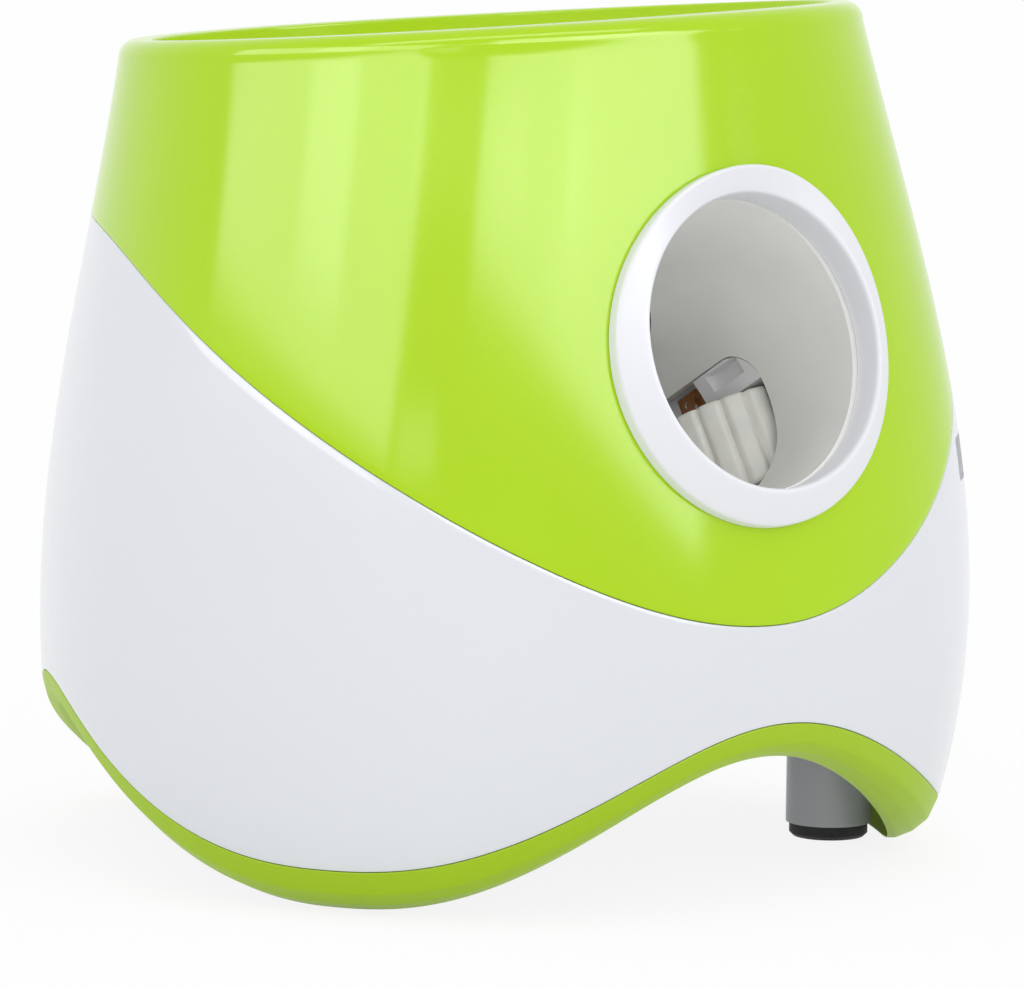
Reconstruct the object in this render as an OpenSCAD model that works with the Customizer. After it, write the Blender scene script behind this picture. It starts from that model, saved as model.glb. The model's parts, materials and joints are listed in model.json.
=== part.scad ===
// Automatic ball launcher for small dogs.
// A ball dropped into the open hopper falls through its throat into a sloping
// launch tube. A three-armed star pushes the ball up the tube, and two flywheels
// with ribbed treads throw it out through the round mouth at the front.
//
// Millimetres. The origin is the middle of the footprint at floor level, the
// mouth faces -Y and +Z is up. Angles round the body start at the front and
// grow towards +X.

/* [Body] */
// Height of the rim above the floor at the body's own axis
rim_h = 230; // [200:1:260]
// Wall radius at the reference height near the feet
foot_r = 126; // [115:0.5:140]
// Wall radius at the rim
rim_r = 101.5; // [90:0.5:112]
// Height at which the wall radius near the feet is taken
foot_ref_h = 30; // [20:1:40]
// How far the wall swells beyond a straight taper at mid height
belly = 9; // [0:0.5:16]
// How far the swelling is moved from the upper half to the lower half
belly_low = 5.5; // [0:0.5:9]
// Depth of the three rounded corners at the feet, as a share of the radius
lobe_foot = 0.037; // [0:0.001:0.08]
// Depth of the three rounded corners at mid height, as a share of the radius
lobe_mid = 0.054; // [0:0.001:0.1]
// Depth of the three rounded corners at the rim, as a share of the radius
lobe_rim = 0.022; // [0:0.001:0.06]
// How far the rim lies behind the body's axis
rim_back = 5; // [0:0.5:10]
// Slope of the rim plane, higher at the front, in degrees
rim_tilt = 5.6; // [0:0.1:8]
// Height above which the rim's slope starts to lift the wall
tilt_from_h = 25; // [10:1:60]
// Radius of the rounded shoulder below the rim
shoulder_r = 5; // [3:0.5:8]
// Thickness of the outer shells, measured level
wall = 2.8; // [2.4:0.1:4]
// Flat steps round the body's curved shells
facets = 72; // [36:12:90]

/* [Shell joints] */
// Height of the seam between the upper and lower shells at the front
seam_front_h = 77; // [65:1:90]
// Further height of that seam at the back
seam_back_rise = 91; // [60:1:100]
// Further height of that seam at the sides
seam_side_rise = 38.5; // [0:0.5:45]
// Further height of that seam on the inlet's side only
seam_right_rise = 21; // [0:1:34]
// Depth of the tongue that laps behind the shell below
lap = 5; // [3:0.5:6]
// Open line that shows between two shells
seam_gap = 0.2; // [0.1:0.05:0.5]

/* [Base trim] */
// Height of the trim's lower edge at the middle of each arch
arch_h = 39.8; // [25:0.5:45]
// How narrow the three arches are
arch_power = 1.24; // [0.8:0.02:2]
// Height of the trim's lower edge at the feet
foot_gap = 1; // [0.5:0.1:3]
// Height of the trim's upper edge at the feet
trim_foot_h = 13.1; // [9:0.1:20]
// Further height of the trim's upper edge at the arches
trim_rise = 36.7; // [30:0.1:45]
// How far the trim's lower edge is drawn in from the wall
trim_inset = 8; // [4:0.5:12]
// Thickness of the trim at its lower edge
trim_edge = 3; // [2:0.5:4]

/* [Mouth] */
// Height of the middle of the mouth
mouth_h = 152.4; // [140:0.1:160]
// How far the mouth ring leans back, in degrees
mouth_tilt = 16.5; // [8:0.5:22]
// Outer radius of the mouth ring
ring_r = 48.5; // [44:0.5:54]
// How far the ring's outline lies below the middle of the mouth
ring_drop = 1.2; // [0:0.1:2]
// Inner radius of the mouth ring
ring_bore_r = 40.2; // [37:0.1:42]
// How far the ring's inner edge stands proud of the wall
ring_proud = 4.2; // [1.5:0.1:5]
// Thickness of the ring's edge on the wall
ring_edge = 3; // [1:0.1:4]
// Depth of the sleeve behind the ring
sleeve_len = 6; // [5:0.5:12]
// Thickness of the sleeve
sleeve_wall = 3; // [2:0.5:4]

/* [Launch tube] */
// Slope of the launch tube, in degrees
tube_tilt = 31; // [27:0.5:33]
// Bore radius of the launch tube
tube_bore_r = 38.6; // [37:0.1:39.4]
// Wall thickness of the launch tube
tube_wall = 2.8; // [2:0.1:3]
// Thickness of the launch tube's rear wall
tube_rear_t = 3; // [2:0.5:4]
// Length of the launch tube from the mouth to its closed rear end
tube_len = 121; // [119:1:124]
// Radius of the balls that the launcher takes
ball_r = 25; // [24:0.5:25.5]
// Length of each flywheel window
window_len = 60; // [59:0.5:64]
// Height of each flywheel window
window_h = 40; // [39:0.5:42]
// Height of the windows' middle above the tube's axis
window_up = -5; // [-6:0.5:-4]
// Corner radius of the windows at their upper edge
window_top_r = 10; // [6:0.5:12]
// Corner radius of the windows at their lower edge
window_low_r = 14; // [10:0.5:16]
// Width of the slot for the star's arms
star_slot_w = 16; // [13:0.5:20]

/* [Hopper] */
// Width of the flat rim inside the shoulder
lip_w = 9; // [7:0.5:11]
// Width of the ledge that carries the hopper
ledge_w = 4; // [3:0.5:6]
// Depth of the ledge below the rim
ledge_depth = 6.4; // [5:0.1:8]
// Thickness of the hopper's wall
bowl_wall = 2.4; // [1.8:0.1:3]
// Thickness of the hopper's flange
flange_t = 2; // [1.6:0.1:2.2]
// Height where the bowl runs into its throat
throat_top_h = 170; // [168:1:180]
// Height of the throat's lower end
throat_end_h = 143; // [141:1:150]
// Bore radius of the throat
throat_r = 28; // [27:0.1:28.6]
// Distance of the throat in front of the body's axis
throat_front = 20; // [18:0.5:24]

/* [Flywheels] */
// Radius of a flywheel over its tread
wheel_r = 28; // [27:0.25:28.5]
// Thickness of the tread
tread_t = 6; // [5:0.5:8]
// Width of a flywheel
wheel_w = 26; // [24:0.5:26]
// Distance of each flywheel's axis from the middle plane
wheel_x = 50; // [49:0.25:51]
// Distance of the flywheels along the tube from its front end
wheel_s = 68; // [67:0.5:69]
// Height of the flywheels' upper face above the tube's axis
wheel_top_u = 4; // [2:0.5:4]
// Number of ribs on each tread
ribs = 24; // [16:1:32]
// Depth of the grooves between the ribs
groove_depth = 1.6; // [1:0.1:2.5]
// Radius of each flywheel's shaft
wheel_shaft_r = 2.5; // [2:0.1:3]
// Outer radius of each shaft bearing
bearing_r = 6.5; // [6:0.1:8]
// Thickness of each shaft bearing
bearing_t = 5; // [4:0.5:6]

/* [Drive motors] */
// Radius of a flywheel motor
motor_r = 10; // [9.5:0.5:10.5]
// Length of a flywheel motor
motor_len = 28; // [24:1:30]
// Radius of a motor's front boss
motor_boss_r = 5; // [4:0.5:6]
// Thickness of the deck that carries the motors
deck_t = 4; // [3:0.5:4.5]
// Space between a flywheel and the deck
deck_gap = 4; // [3:0.5:5]
// Length of each deck along the tube
deck_len = 40; // [36:1:42]
// Distance of the decks' outer edges from the middle plane
deck_x = 84; // [83:0.5:86]
// Thickness of the frame's side walls
frame_t = 4; // [3:0.5:5]
// Height of the tie bar that joins the drive frame's two feet at the front
tie_h = 8; // [5:0.5:10]
// Distance of the side walls' inner faces from the middle plane
frame_x = 66; // [64:0.5:70]
// Thickness of the bearing brackets' arms
arm_t = 12.8; // [11:0.1:14]
// Length of the bearing brackets' arms along the tube
arm_len = 28; // [24:1:30]
// Space between a flywheel and its bearing bracket
arm_gap = 1.2; // [1:0.1:2]
// Length of the nose that each bracket holds in its window
nose_len = 24; // [18:0.5:26]
// Thickness of the sensor board beside the nose
sensor_t = 1.6; // [1:0.1:2]

/* [Ball feed] */
// Radius of the star over its arms
star_r = 32; // [30:0.5:32.5]
// Width of the star's arms along the shaft
star_w = 10; // [8:0.5:12]
// Thickness of the star's arms
arm_w = 7; // [5:0.5:8]
// Radius of the star's hub
star_hub_r = 8; // [6:0.5:9]
// Distance of the star's shaft along the tube from its front end
star_s = 92; // [90:0.5:94]
// Distance of the star's shaft below the tube's axis
star_down = 45; // [44.5:0.25:47]
// Radius of the star's shaft
feed_shaft_r = 2.5; // [2:0.1:3]
// Tooth size of the feed gears: pitch diameter for each tooth
gear_size = 1; // [0.9:0.05:1]
// Teeth on the star's gear
gear_teeth = 24; // [22:1:26]
// Teeth on the motor's pinion
pinion_teeth = 14; // [12:1:16]
// Width of the feed gears
gear_w = 6; // [4:0.5:7]
// Distance of the feed gears from the middle plane
gear_x = 43; // [42.5:0.5:44]
// Play between the gears' teeth
backlash = 0.3; // [0.2:0.05:0.4]
// Radius of the feed motor's gearbox
gearbox_r = 11; // [10:0.5:12]
// Length of the feed motor's gearbox
gearbox_len = 18; // [12:1:24]
// Radius of the feed motor's can
feed_can_r = 10; // [8:0.5:11]
// Length of the feed motor's can
feed_can_len = 22; // [18:1:26]
// Radius of the pinion's shaft
pinion_shaft_r = 1.5; // [1.5:0.1:2.5]
// Thickness of the feed motor's bracket
bracket_t = 2.5; // [2:0.1:3]
// Thickness of the blocks that carry the star's shaft
block_t = 7; // [6:0.5:8]
// Radius of a block round the star's shaft
block_r = 6; // [5.5:0.5:7]

/* [Base] */
// Height of the base plate's underside
plate_h = 45.5; // [45:0.5:47]
// Thickness of the base plate
plate_t = 3; // [2.5:0.1:4]
// Space between the star and the well below it
well_gap = 2; // [1.5:0.5:3]
// Thickness of the well
well_t = 2; // [1.6:0.1:3]
// Distance of the foot pads' middles inside the wall's radius near the feet
foot_in = 28; // [26:0.5:32]
// Radius of a foot pad
pad_r = 11; // [8:0.5:11]
// Height of a foot pad
pad_h = 4; // [3:0.5:6]
// Radius of a foot column
column_r = 12; // [11.5:0.5:12]
// Thickness of the foot columns
column_t = 2.5; // [2:0.5:3]
// Radius of the screws' shanks
screw_r = 1.5; // [1.2:0.1:1.8]
// Radius of the screws' heads
head_r = 3; // [2.6:0.1:3.2]
// Height of the screws' heads
head_h = 1.8; // [1.5:0.1:2]
// Depth to which the screws bite
bite = 4; // [3:0.5:5]
// Thickness of the flanges that are screwed down
flange_foot_t = 3; // [2:0.5:4]
// Radius of the bosses for the base plate's screws
boss_r = 5.6; // [5.3:0.1:6.5]
// Height of those bosses
boss_h = 15; // [13:0.5:18]

/* [Battery] */
// Radius of a battery cell
cell_r = 13; // [12:0.1:13.1]
// Length of a battery cell
cell_len = 50; // [48:0.5:50]
// Rows of cells, two cells in each
cell_rows = 3; // [2:1:3]
// Space between neighbouring cells
cell_gap = 0.6; // [0.4:0.1:1]
// Distance of the battery's middle behind the body's axis
battery_back = 42; // [41.5:0.5:43]
// Thickness of the battery box
box_wall = 2; // [1.6:0.1:2.2]
// Space between a cell's end and the box for its contact
contact_gap = 1.5; // [1.2:0.1:2]
// Thickness of the battery door
door_t = 1.5; // [1.2:0.1:1.8]
// Height of the ribs on the door that carry the cells
door_rib_h = 3.9; // [3:0.1:5]
// Width of the door's screw tabs
tab_w = 16; // [12:1:20]
// Width of the main board
board_w = 70; // [66:1:80]
// Length of the main board
board_len = 50; // [46:1:60]
// Thickness of the circuit boards
board_t = 1.6; // [1:0.1:2]
// Height of the posts under the main board
post_h = 5; // [4:0.5:6]

/* [Controls] */
// Height of the control panel's middle
panel_h = 118; // [110:1:125]
// Width of the control panel
panel_w = 34; // [30:1:36]
// Length of the control panel
panel_len = 56; // [50:1:60]
// How far the panel stands proud of the wall
panel_proud = 1.2; // [0.8:0.1:2]
// Corner radius of the control panel
panel_r = 6; // [4:0.5:8]
// Depth of the control panel behind the wall
panel_back = 9; // [8:0.5:11]
// Radius of the push buttons
button_r = 7; // [5:0.5:8]
// Travel of the push buttons
button_travel = 1.2; // [0.8:0.1:1.5]
// Height of the buttons' tops above the panel
button_proud = 2; // [1.8:0.1:3]
// Distance between the two buttons
button_pitch = 24; // [20:1:26]
// Angle of the power inlet from the front, in degrees
inlet_angle = 49; // [45:1:60]
// Height of the power inlet's middle
inlet_h = 110.5; // [100:0.5:115]
// Width of the power inlet's plate
inlet_w = 16; // [14:0.5:20]
// Height of the power inlet's plate
inlet_len = 12; // [11:0.5:16]
// Depth of the power inlet's face below the wall
inlet_sunk = 1.5; // [1:0.1:2.5]
// Radius of the power inlet's socket
socket_r = 3; // [2.5:0.1:3.5]
// Depth of the power inlet's socket
socket_len = 17; // [15:0.5:18]

/* [Fits] */
// Radial clearance of a shaft in its bore
shaft_fit = 0.06; // [0.02:0.01:0.1]
// Clearance between pieces that are assembled and don't move
fit = 0.15; // [0.1:0.05:0.3]

/* [Hidden] */
$fn = 64;

step = 360 / facets;
angles = [for (i = [0:facets - 1]) i * step];
plate_top = plate_h + plate_t;

// Colours as the photograph shows them
green = [0.68, 0.86, 0.12];
white = [0.93, 0.94, 0.95];
tube_grey = [0.80, 0.80, 0.78];
light_grey = [0.74, 0.74, 0.73];
dark_grey = [0.16, 0.16, 0.17];
black = [0.06, 0.06, 0.06];
steel = [0.72, 0.73, 0.75];
brown = [0.42, 0.25, 0.10];
board_green = [0.07, 0.33, 0.16];

// ---------------------------------------------------------------- body surface

// Share of the way from the reference height to the rim
function rise(z) = (z - foot_ref_h) / (rim_h - foot_ref_h);

// Mean wall radius at a share of the height
function round_r(t) =
    foot_r * (1 - t) + rim_r * t
    + 4 * t * (1 - t) * (belly - 2 * belly_low * (t - 0.5));

// Depth of the three corners at a share of the height
function lobe(t) =
    lobe_foot * (1 - t) * (1 - 2 * t)
    + lobe_rim * t * (2 * t - 1)
    + 4 * lobe_mid * t * (1 - t);

// Wall radius before the rim is sloped
function level_r(a, z) =
    let (t = rise(z))
    round_r(t) * (1 - lobe(t) * cos(3 * a)) - rim_back * t * cos(a);

// Height that the sloped rim plane adds at an angle
function rim_rise(a) = tan(rim_tilt) * cos(a) * level_r(a, rim_h);

// Height of the rim plane at an angle
function rim_z(a) = rim_h + rim_rise(a);

// Height before the rim is sloped, from the real height
function level_z(a, z) =
    z <= tilt_from_h ? z
    : tilt_from_h + (z - tilt_from_h) / (1 + rim_rise(a) / (rim_h - tilt_from_h));

// Outer wall radius at an angle and a real height
function skin_r(a, z) = level_r(a, level_z(a, z));

// A point at an angle, a radius and a height
function at(a, r, z) = [r * sin(a), -r * cos(a), z];

// 1 at the middle of each arch, 0 at each foot
function arch(a) = pow((1 + cos(3 * a)) / 2, arch_power);
function trim_low_z(a) = foot_gap + (arch_h - foot_gap) * arch(a);
function trim_top_z(a) = trim_foot_h + trim_rise * arch(a);

// Height of the seam between the upper and lower shells
function seam_z(a) =
    seam_front_h + seam_back_rise * (1 - cos(a)) / 2
    + seam_side_rise * (1 - cos(2 * a)) / 2
    + seam_right_rise * pow(max(0, sin(a)), 2);

// Steps up the wall between two heights, at a depth below the skin
function climb(a, z0, z1, depth, n) =
    [for (i = [0:n]) let (z = z0 + (z1 - z0) * i / n) at(a, skin_r(a, z) - depth, z)];

// Slope of the wall from upright, in degrees
function wall_lean(a, z) = atan((skin_r(a, z - 5) - skin_r(a, z + 5)) / 10);

// The body's axis is set so that the footprint's middle is the origin
wall_heights = [for (z = [40:2:110]) z];
body_y = (max([for (z = wall_heights) skin_r(0, z)])
    - max([for (z = wall_heights) skin_r(180, z)])) / 2;

// Closed solid through a ring of closed sections
module ring_loft(sections) {
    n = len(sections);
    m = len(sections[0]);
    polyhedron(
        points = [for (s = sections) for (p = s) p],
        faces = [
            for (i = [0:n - 1]) for (j = [0:m - 1])
                let (
                    a = i * m + j,
                    b = i * m + (j + 1) % m,
                    c = ((i + 1) % n) * m + (j + 1) % m,
                    d = ((i + 1) % n) * m + j
                )
                for (f = [[a, b, c], [a, c, d]]) f
        ]
    );
}

// Body frame: its axis is upright and meets the floor at the origin
module in_body() {
    translate([0, body_y, 0]) children();
}

// Frame on the wall: -Y points outwards, Z runs up the wall
module on_wall(a, z) {
    in_body()
        translate(at(a, skin_r(a, z), z))
            rotate([-wall_lean(a, z), 0, a])
                children();
}

// ---------------------------------------------------------------- frames inside

// Distance of the mouth's middle in front of the body's axis
mouth_front = skin_r(0, mouth_h);
// Start of the launch tube, behind the mouth's sleeve
tube_y = -mouth_front + (sleeve_len + fit) * cos(mouth_tilt);
tube_z = mouth_h - (sleeve_len + fit) * sin(mouth_tilt);

// Frame of the launch tube: Y runs down the tube, Z points away from its floor
module in_tube() {
    in_body() translate([0, tube_y, tube_z]) rotate([-tube_tilt, 0, 0]) children();
}

// Body-frame place of a point given along the tube and above its axis
function tube_pt(s, u) = [
    0,
    tube_y + s * cos(tube_tilt) + u * sin(tube_tilt),
    tube_z - s * sin(tube_tilt) + u * cos(tube_tilt)
];

tube_r = tube_bore_r + tube_wall;
wheel_low_u = wheel_top_u - wheel_w;
deck_top_u = wheel_low_u - deck_gap;
deck_low_u = deck_top_u - deck_t;
arm_low_u = wheel_top_u + arm_gap;
hub_r = wheel_r - tread_t;

star_at = tube_pt(star_s, -star_down);
gear_centres = gear_size * (gear_teeth + pinion_teeth) / 2;
pinion_at = star_at + [0, gear_centres, 0];
well_r = star_r + well_gap;
well_x0 = -star_slot_w / 2 - 4;
well_x1 = gear_x + gear_w + 3;
bracket_x = well_x1 + 1;
block_x0 = well_x0 - well_t - 1 - block_t;
block_x1 = bracket_x + bracket_t + 0.5;
block_foot = block_r + 2 * head_r + fit;

// ------------------------------------------------------------------ small pieces

// Pan-head screw with a crossed drive: the shank points down from z = 0
module screw(shank_len) {
    difference() {
        union() {
            translate([0, 0, -shank_len]) cylinder(r = screw_r, h = shank_len);
            cylinder(r = head_r, h = head_h);
        }
        for (turn = [0, 90])
            rotate([0, 0, turn])
                translate([-head_r * 0.6, -head_r * 0.12, head_h - 1])
                    cube([head_r * 1.2, head_r * 0.24, 2]);
    }
}

// Plate in the XZ plane with rounded corners, from y0 to y1
module rounded_plate(w, len, r, y0, y1) {
    translate([0, y1, 0])
        rotate([90, 0, 0])
            linear_extrude(height = y1 - y0)
                union() {
                    square([w - 2 * r, len], center = true);
                    square([w, len - 2 * r], center = true);
                    for (sx = [-1, 1])
                        for (sz = [-1, 1])
                            translate([sx * (w / 2 - r), sz * (len / 2 - r)]) circle(r = r);
                }
}

// ------------------------------------------------------------------ outer shells

// Upper shell: from the seam over the shoulder to the ledge for the hopper
function upper_section(a) =
    let (
        z_top = rim_z(a),
        z_bend = z_top - shoulder_r,
        z_seam = seam_z(a),
        r_bend = skin_r(a, z_bend),
        r_lip = r_bend - lip_w,
        z_ledge = z_top - ledge_depth,
        z_under = z_ledge - wall
    )
    concat(
        climb(a, z_seam, z_bend, 0, 10),
        [for (b = [22.5:22.5:90])
            at(a, r_bend - shoulder_r * (1 - cos(b)), z_bend + shoulder_r * sin(b))],
        [
            at(a, r_lip, z_top),
            at(a, r_lip, z_ledge),
            at(a, r_lip - ledge_w, z_ledge),
            at(a, r_lip - ledge_w, z_under)
        ],
        climb(a, z_under, z_seam, wall, 8),
        [
            at(a, skin_r(a, z_seam - lap) - wall, z_seam - lap),
            at(a, skin_r(a, z_seam - lap) - wall / 2 - fit / 2, z_seam - lap),
            at(a, skin_r(a, z_seam) - wall / 2 - fit / 2, z_seam)
        ]
    );

module upper_shell() {
    color(green)
        difference() {
            in_body() ring_loft([for (a = angles) upper_section(a)]);
            mouth_cut();
        }
}

// Round hole in the wall for the mouth's sleeve
module mouth_cut() {
    in_body()
        translate([0, -mouth_front, mouth_h])
            rotate([90 - mouth_tilt, 0, 0])
                translate([0, 0, -sleeve_len - 6])
                    cylinder(r = ring_bore_r + sleeve_wall + fit, h = 2 * sleeve_len + 12);
}

// Lower shell: from the trim to the seam, with a groove for the tongue above
function lower_section(a) =
    let (
        z_low = trim_top_z(a) + seam_gap,
        z_top = seam_z(a) - seam_gap,
        z_groove = seam_z(a) - lap - fit
    )
    concat(
        climb(a, z_low, z_top, 0, 9),
        [
            at(a, skin_r(a, z_top) - wall / 2 + fit / 2, z_top),
            at(a, skin_r(a, z_groove) - wall / 2 + fit / 2, z_groove)
        ],
        climb(a, z_groove, z_low, wall, 7),
        [
            at(a, skin_r(a, z_low - lap) - wall, z_low - lap),
            at(a, skin_r(a, z_low - lap) - wall / 2 - fit / 2, z_low - lap),
            at(a, skin_r(a, z_low) - wall / 2 - fit / 2, z_low)
        ]
    );

// Bosses inside the lower shell, one above each foot, for the base plate's screws
foot_angles = [-60, 60, 180];
boss_top = plate_top + boss_h;
boss_in = wall + head_r + 1.8;
screw_into = plate_t + 2 * bite;

module at_bosses() {
    in_body()
        for (a = foot_angles)
            translate(at(a, skin_r(a, plate_top) - boss_in, 0)) children();
}

module lower_shell() {
    color(white)
        difference() {
            union() {
                in_body() ring_loft([for (a = angles) lower_section(a)]);
                at_bosses()
                    translate([0, 0, plate_top + fit])
                        cylinder(r = boss_r, h = boss_top - plate_top - fit);
            }
            at_bosses()
                translate([0, 0, plate_h]) cylinder(r = screw_r + fit / 3, h = screw_into + 1.5);
            on_wall(180, panel_h)
                rounded_plate(panel_w + 2 * fit, panel_len + 2 * fit, panel_r + fit, -8, 12);
            on_wall(inlet_angle, inlet_h)
                rounded_plate(inlet_w + 2 * fit, inlet_len + 2 * fit, 2 + fit, -6, 9);
        }
}

// Trim round the base: an upright upper face and a lower face drawn in
function trim_section(a) =
    let (
        z_low = trim_low_z(a),
        z_top = trim_top_z(a),
        h = z_top - z_low,
        z_crease = z_low + 0.45 * h,
        z_turn = z_low + 0.16 * h,
        z_groove = z_top + seam_gap - lap - fit,
        z_in = z_groove - 0.8
    )
    [
        at(a, skin_r(a, z_low) - trim_inset - trim_edge, z_low),
        at(a, skin_r(a, z_low) - trim_inset, z_low),
        at(a, skin_r(a, z_turn) - trim_inset * 0.5, z_turn),
        at(a, skin_r(a, z_crease) - trim_inset * 0.12, z_crease),
        at(a, skin_r(a, z_top), z_top),
        at(a, skin_r(a, z_top) - wall / 2 + fit / 2, z_top),
        at(a, skin_r(a, z_groove) - wall / 2 + fit / 2, z_groove),
        at(a, skin_r(a, z_in) - wall - 1.5, z_in)
    ];

module base_trim() {
    color(green) in_body() ring_loft([for (a = angles) trim_section(a)]);
}

// ------------------------------------------------------------------------- base

foot_at_r = foot_r - foot_in;
battery_in_x = cell_len + cell_gap / 2 + contact_gap;
battery_in_y = cell_rows * cell_r + (cell_rows + 1) * cell_gap / 2;
battery_x = battery_in_x + box_wall;
battery_y = battery_in_y + box_wall;
cells_z = plate_h + door_t + door_rib_h + fit + cell_r;
box_top = cells_z + cell_r + 0.5 + box_wall;
tab_x = battery_x + 6;

module at_door_screws() {
    in_body()
        for (side = [-1, 1])
            translate([side * tab_x, battery_back, 0]) children();
}

module at_blocks() {
    in_body()
        for (x = [block_x0, block_x1])
            translate([x, star_at[1], 0]) children();
}

// Half-round well below the star and its gear, before it is hollowed
module well_shape(r, extra) {
    translate([well_x0 - extra, star_at[1], star_at[2]])
        rotate([0, 90, 0])
            cylinder(r = r, h = well_x1 - well_x0 + 2 * extra);
}

module base_plate() {
    outline = [for (a = angles)
        let (
            r = min(skin_r(a, plate_h), skin_r(a, plate_top)) - wall - 4 * fit,
            p = at(a, r, 0)
        )
        [p[0], p[1]]];
    color(white)
        difference() {
            union() {
                in_body()
                    difference() {
                        union() {
                            translate([0, 0, plate_h])
                                linear_extrude(height = plate_t) polygon(outline);
                            for (a = foot_angles)
                                translate(at(a, foot_at_r, pad_h))
                                    cylinder(r = column_r, h = plate_h - pad_h + 1);
                            intersection() {
                                well_shape(well_r + well_t, well_t);
                                translate([well_x0 - well_t, star_at[1] - 60, 0])
                                    cube([well_x1 - well_x0 + 2 * well_t, 120, plate_top]);
                            }
                        }
                        well_shape(well_r, 0);
                        for (a = foot_angles)
                            translate(at(a, foot_at_r, pad_h + column_t))
                                cylinder(r = column_r - column_t, h = plate_h);
                        for (a = foot_angles)
                            translate(at(a, foot_at_r, 0)) cylinder(r = 3, h = plate_h);
                        translate([-battery_in_x, battery_back - battery_in_y, plate_h - 1])
                            cube([2 * battery_in_x, 2 * battery_in_y, plate_t + 2]);
                        translate([0, 0, plate_h - 1]) door_outline(fit, door_t + fit + 1);
                    }
                at_door_screws()
                    translate([0, 0, plate_top - 0.5]) cylinder(r = 4, h = 6.5);
            }
            at_bosses() translate([0, 0, plate_h - 1]) cylinder(r = screw_r + fit, h = 9);
            at_door_screws() translate([0, 0, plate_h]) cylinder(r = screw_r + fit / 3, h = 8);
            at_frame_screws() foot_screw_hole();
            at_block_screws() foot_screw_hole();
        }
}

// Hole in the base plate for a screw that holds a flange down
module foot_screw_hole() {
    deep = flange_foot_t + plate_t + 1;
    translate([0, 0, -deep]) cylinder(r = screw_r + fit / 3, h = deep);
}

module foot_pads() {
    color(dark_grey)
        in_body()
            for (a = foot_angles)
                translate(at(a, foot_at_r, 0))
                    union() {
                        cylinder(r1 = pad_r - 1, r2 = pad_r, h = 1);
                        translate([0, 0, 1]) cylinder(r = pad_r, h = pad_h - fit - 1);
                        translate([0, 0, 1]) cylinder(r = 3 - fit, h = pad_h + 2);
                    }
}

module base_screws() {
    color(steel)
        at_bosses()
            translate([0, 0, plate_h - fit / 3]) rotate([180, 0, 0]) screw(screw_into);
}

// -------------------------------------------------------------- hopper and mouth

// Share of the radius and of the height at a turn of 0 (rim) to 90 (throat)
function bowl_out(w) = cos(w);
function bowl_up(w) = 1 - 0.72 * sin(w) - 0.28 * (1 - cos(w));

// A point of the bowl, at a thickness outside its inner face
function bowl_pt(a, w, r_rim, z_rim, t) =
    let (
        k = bowl_out(w),
        r = throat_r + (r_rim - throat_r) * k + t * cos(w * 0.85),
        z = throat_top_h + (z_rim - throat_top_h) * bowl_up(w) - t * sin(w * 0.85)
    )
    at(a, r, z) - [0, throat_front * (1 - k), 0];

function bowl_section(a) =
    let (
        z_top = rim_z(a),
        r_lip = skin_r(a, z_top - shoulder_r) - lip_w,
        r_rim = r_lip - ledge_w - fit - bowl_wall,
        z_flange = z_top - ledge_depth,
        z_rim = z_flange - 1,
        mid = [0, -throat_front, 0]
    )
    concat(
        [at(a, throat_r + bowl_wall, throat_end_h) + mid],
        [for (w = [90:-10:0]) bowl_pt(a, w, r_rim, z_rim, bowl_wall)],
        [
            at(a, r_rim + bowl_wall, z_flange),
            at(a, r_lip - fit, z_flange),
            at(a, r_lip - fit, z_flange + flange_t),
            at(a, r_rim + 0.8, z_flange + flange_t),
            at(a, r_rim, z_flange + flange_t - 0.8)
        ],
        [for (w = [0:10:90]) bowl_pt(a, w, r_rim, z_rim, 0)],
        [at(a, throat_r, throat_end_h) + mid]
    );

module hopper_bowl() {
    color(white) in_body() ring_loft([for (a = angles) bowl_section(a)]);
}

// A point of the mouth ring: angle round it, radius, height above its plane and
// how far its circle lies below the middle of the mouth
function ring_pt(b, r, w, drop = 0) =
    let (v = r * sin(b) - drop)
    [
        r * cos(b),
        -mouth_front - w * cos(mouth_tilt) + v * sin(mouth_tilt),
        mouth_h + v * cos(mouth_tilt) + w * sin(mouth_tilt)
    ];
function off_skin(p) = norm([p[0], p[1]]) - skin_r(atan2(p[0], -p[1]), p[2]);

// Height above the ring's plane where it meets the wall
function ring_seat(b, r, drop, w = 0, n = 6) =
    n == 0 ? w : ring_seat(b, r, drop, w - off_skin(ring_pt(b, r, w, drop)), n - 1);

function ring_section(b) =
    let (
        seat = ring_seat(b, ring_r, ring_drop) + seam_gap,
        seat_in = ring_seat(b, ring_bore_r + sleeve_wall, 0) + seam_gap
    )
    [
        ring_pt(b, ring_r, seat, ring_drop),
        ring_pt(b, ring_r, seat + ring_edge, ring_drop),
        ring_pt(b, ring_r - 0.5, seat + ring_edge + 0.5, ring_drop),
        ring_pt(b, ring_r - 1.4, seat + ring_edge + 0.8, ring_drop),
        ring_pt(b, ring_bore_r + 1.2, ring_proud),
        ring_pt(b, ring_bore_r + 0.3, ring_proud - 0.3),
        ring_pt(b, ring_bore_r, ring_proud - 1),
        ring_pt(b, ring_bore_r, -sleeve_len),
        ring_pt(b, ring_bore_r + sleeve_wall, -sleeve_len),
        ring_pt(b, ring_bore_r + sleeve_wall, seat_in)
    ];

module mouth_ring() {
    color(white) in_body() ring_loft([for (b = angles) ring_section(b)]);
}

// ------------------------------------------------------------------- launch tube

module along_tube(r, s0, s1) {
    translate([0, s1, 0]) rotate([90, 0, 0]) cylinder(r = r, h = s1 - s0);
}

// Corner of a window: its middle, its radius and the angle at which it starts
function window_arc(s, u, r, b0, shrink) =
    [for (b = [b0:7.5:b0 + 90]) [s + (r - shrink) * cos(b), u + (r - shrink) * sin(b)]];

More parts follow.
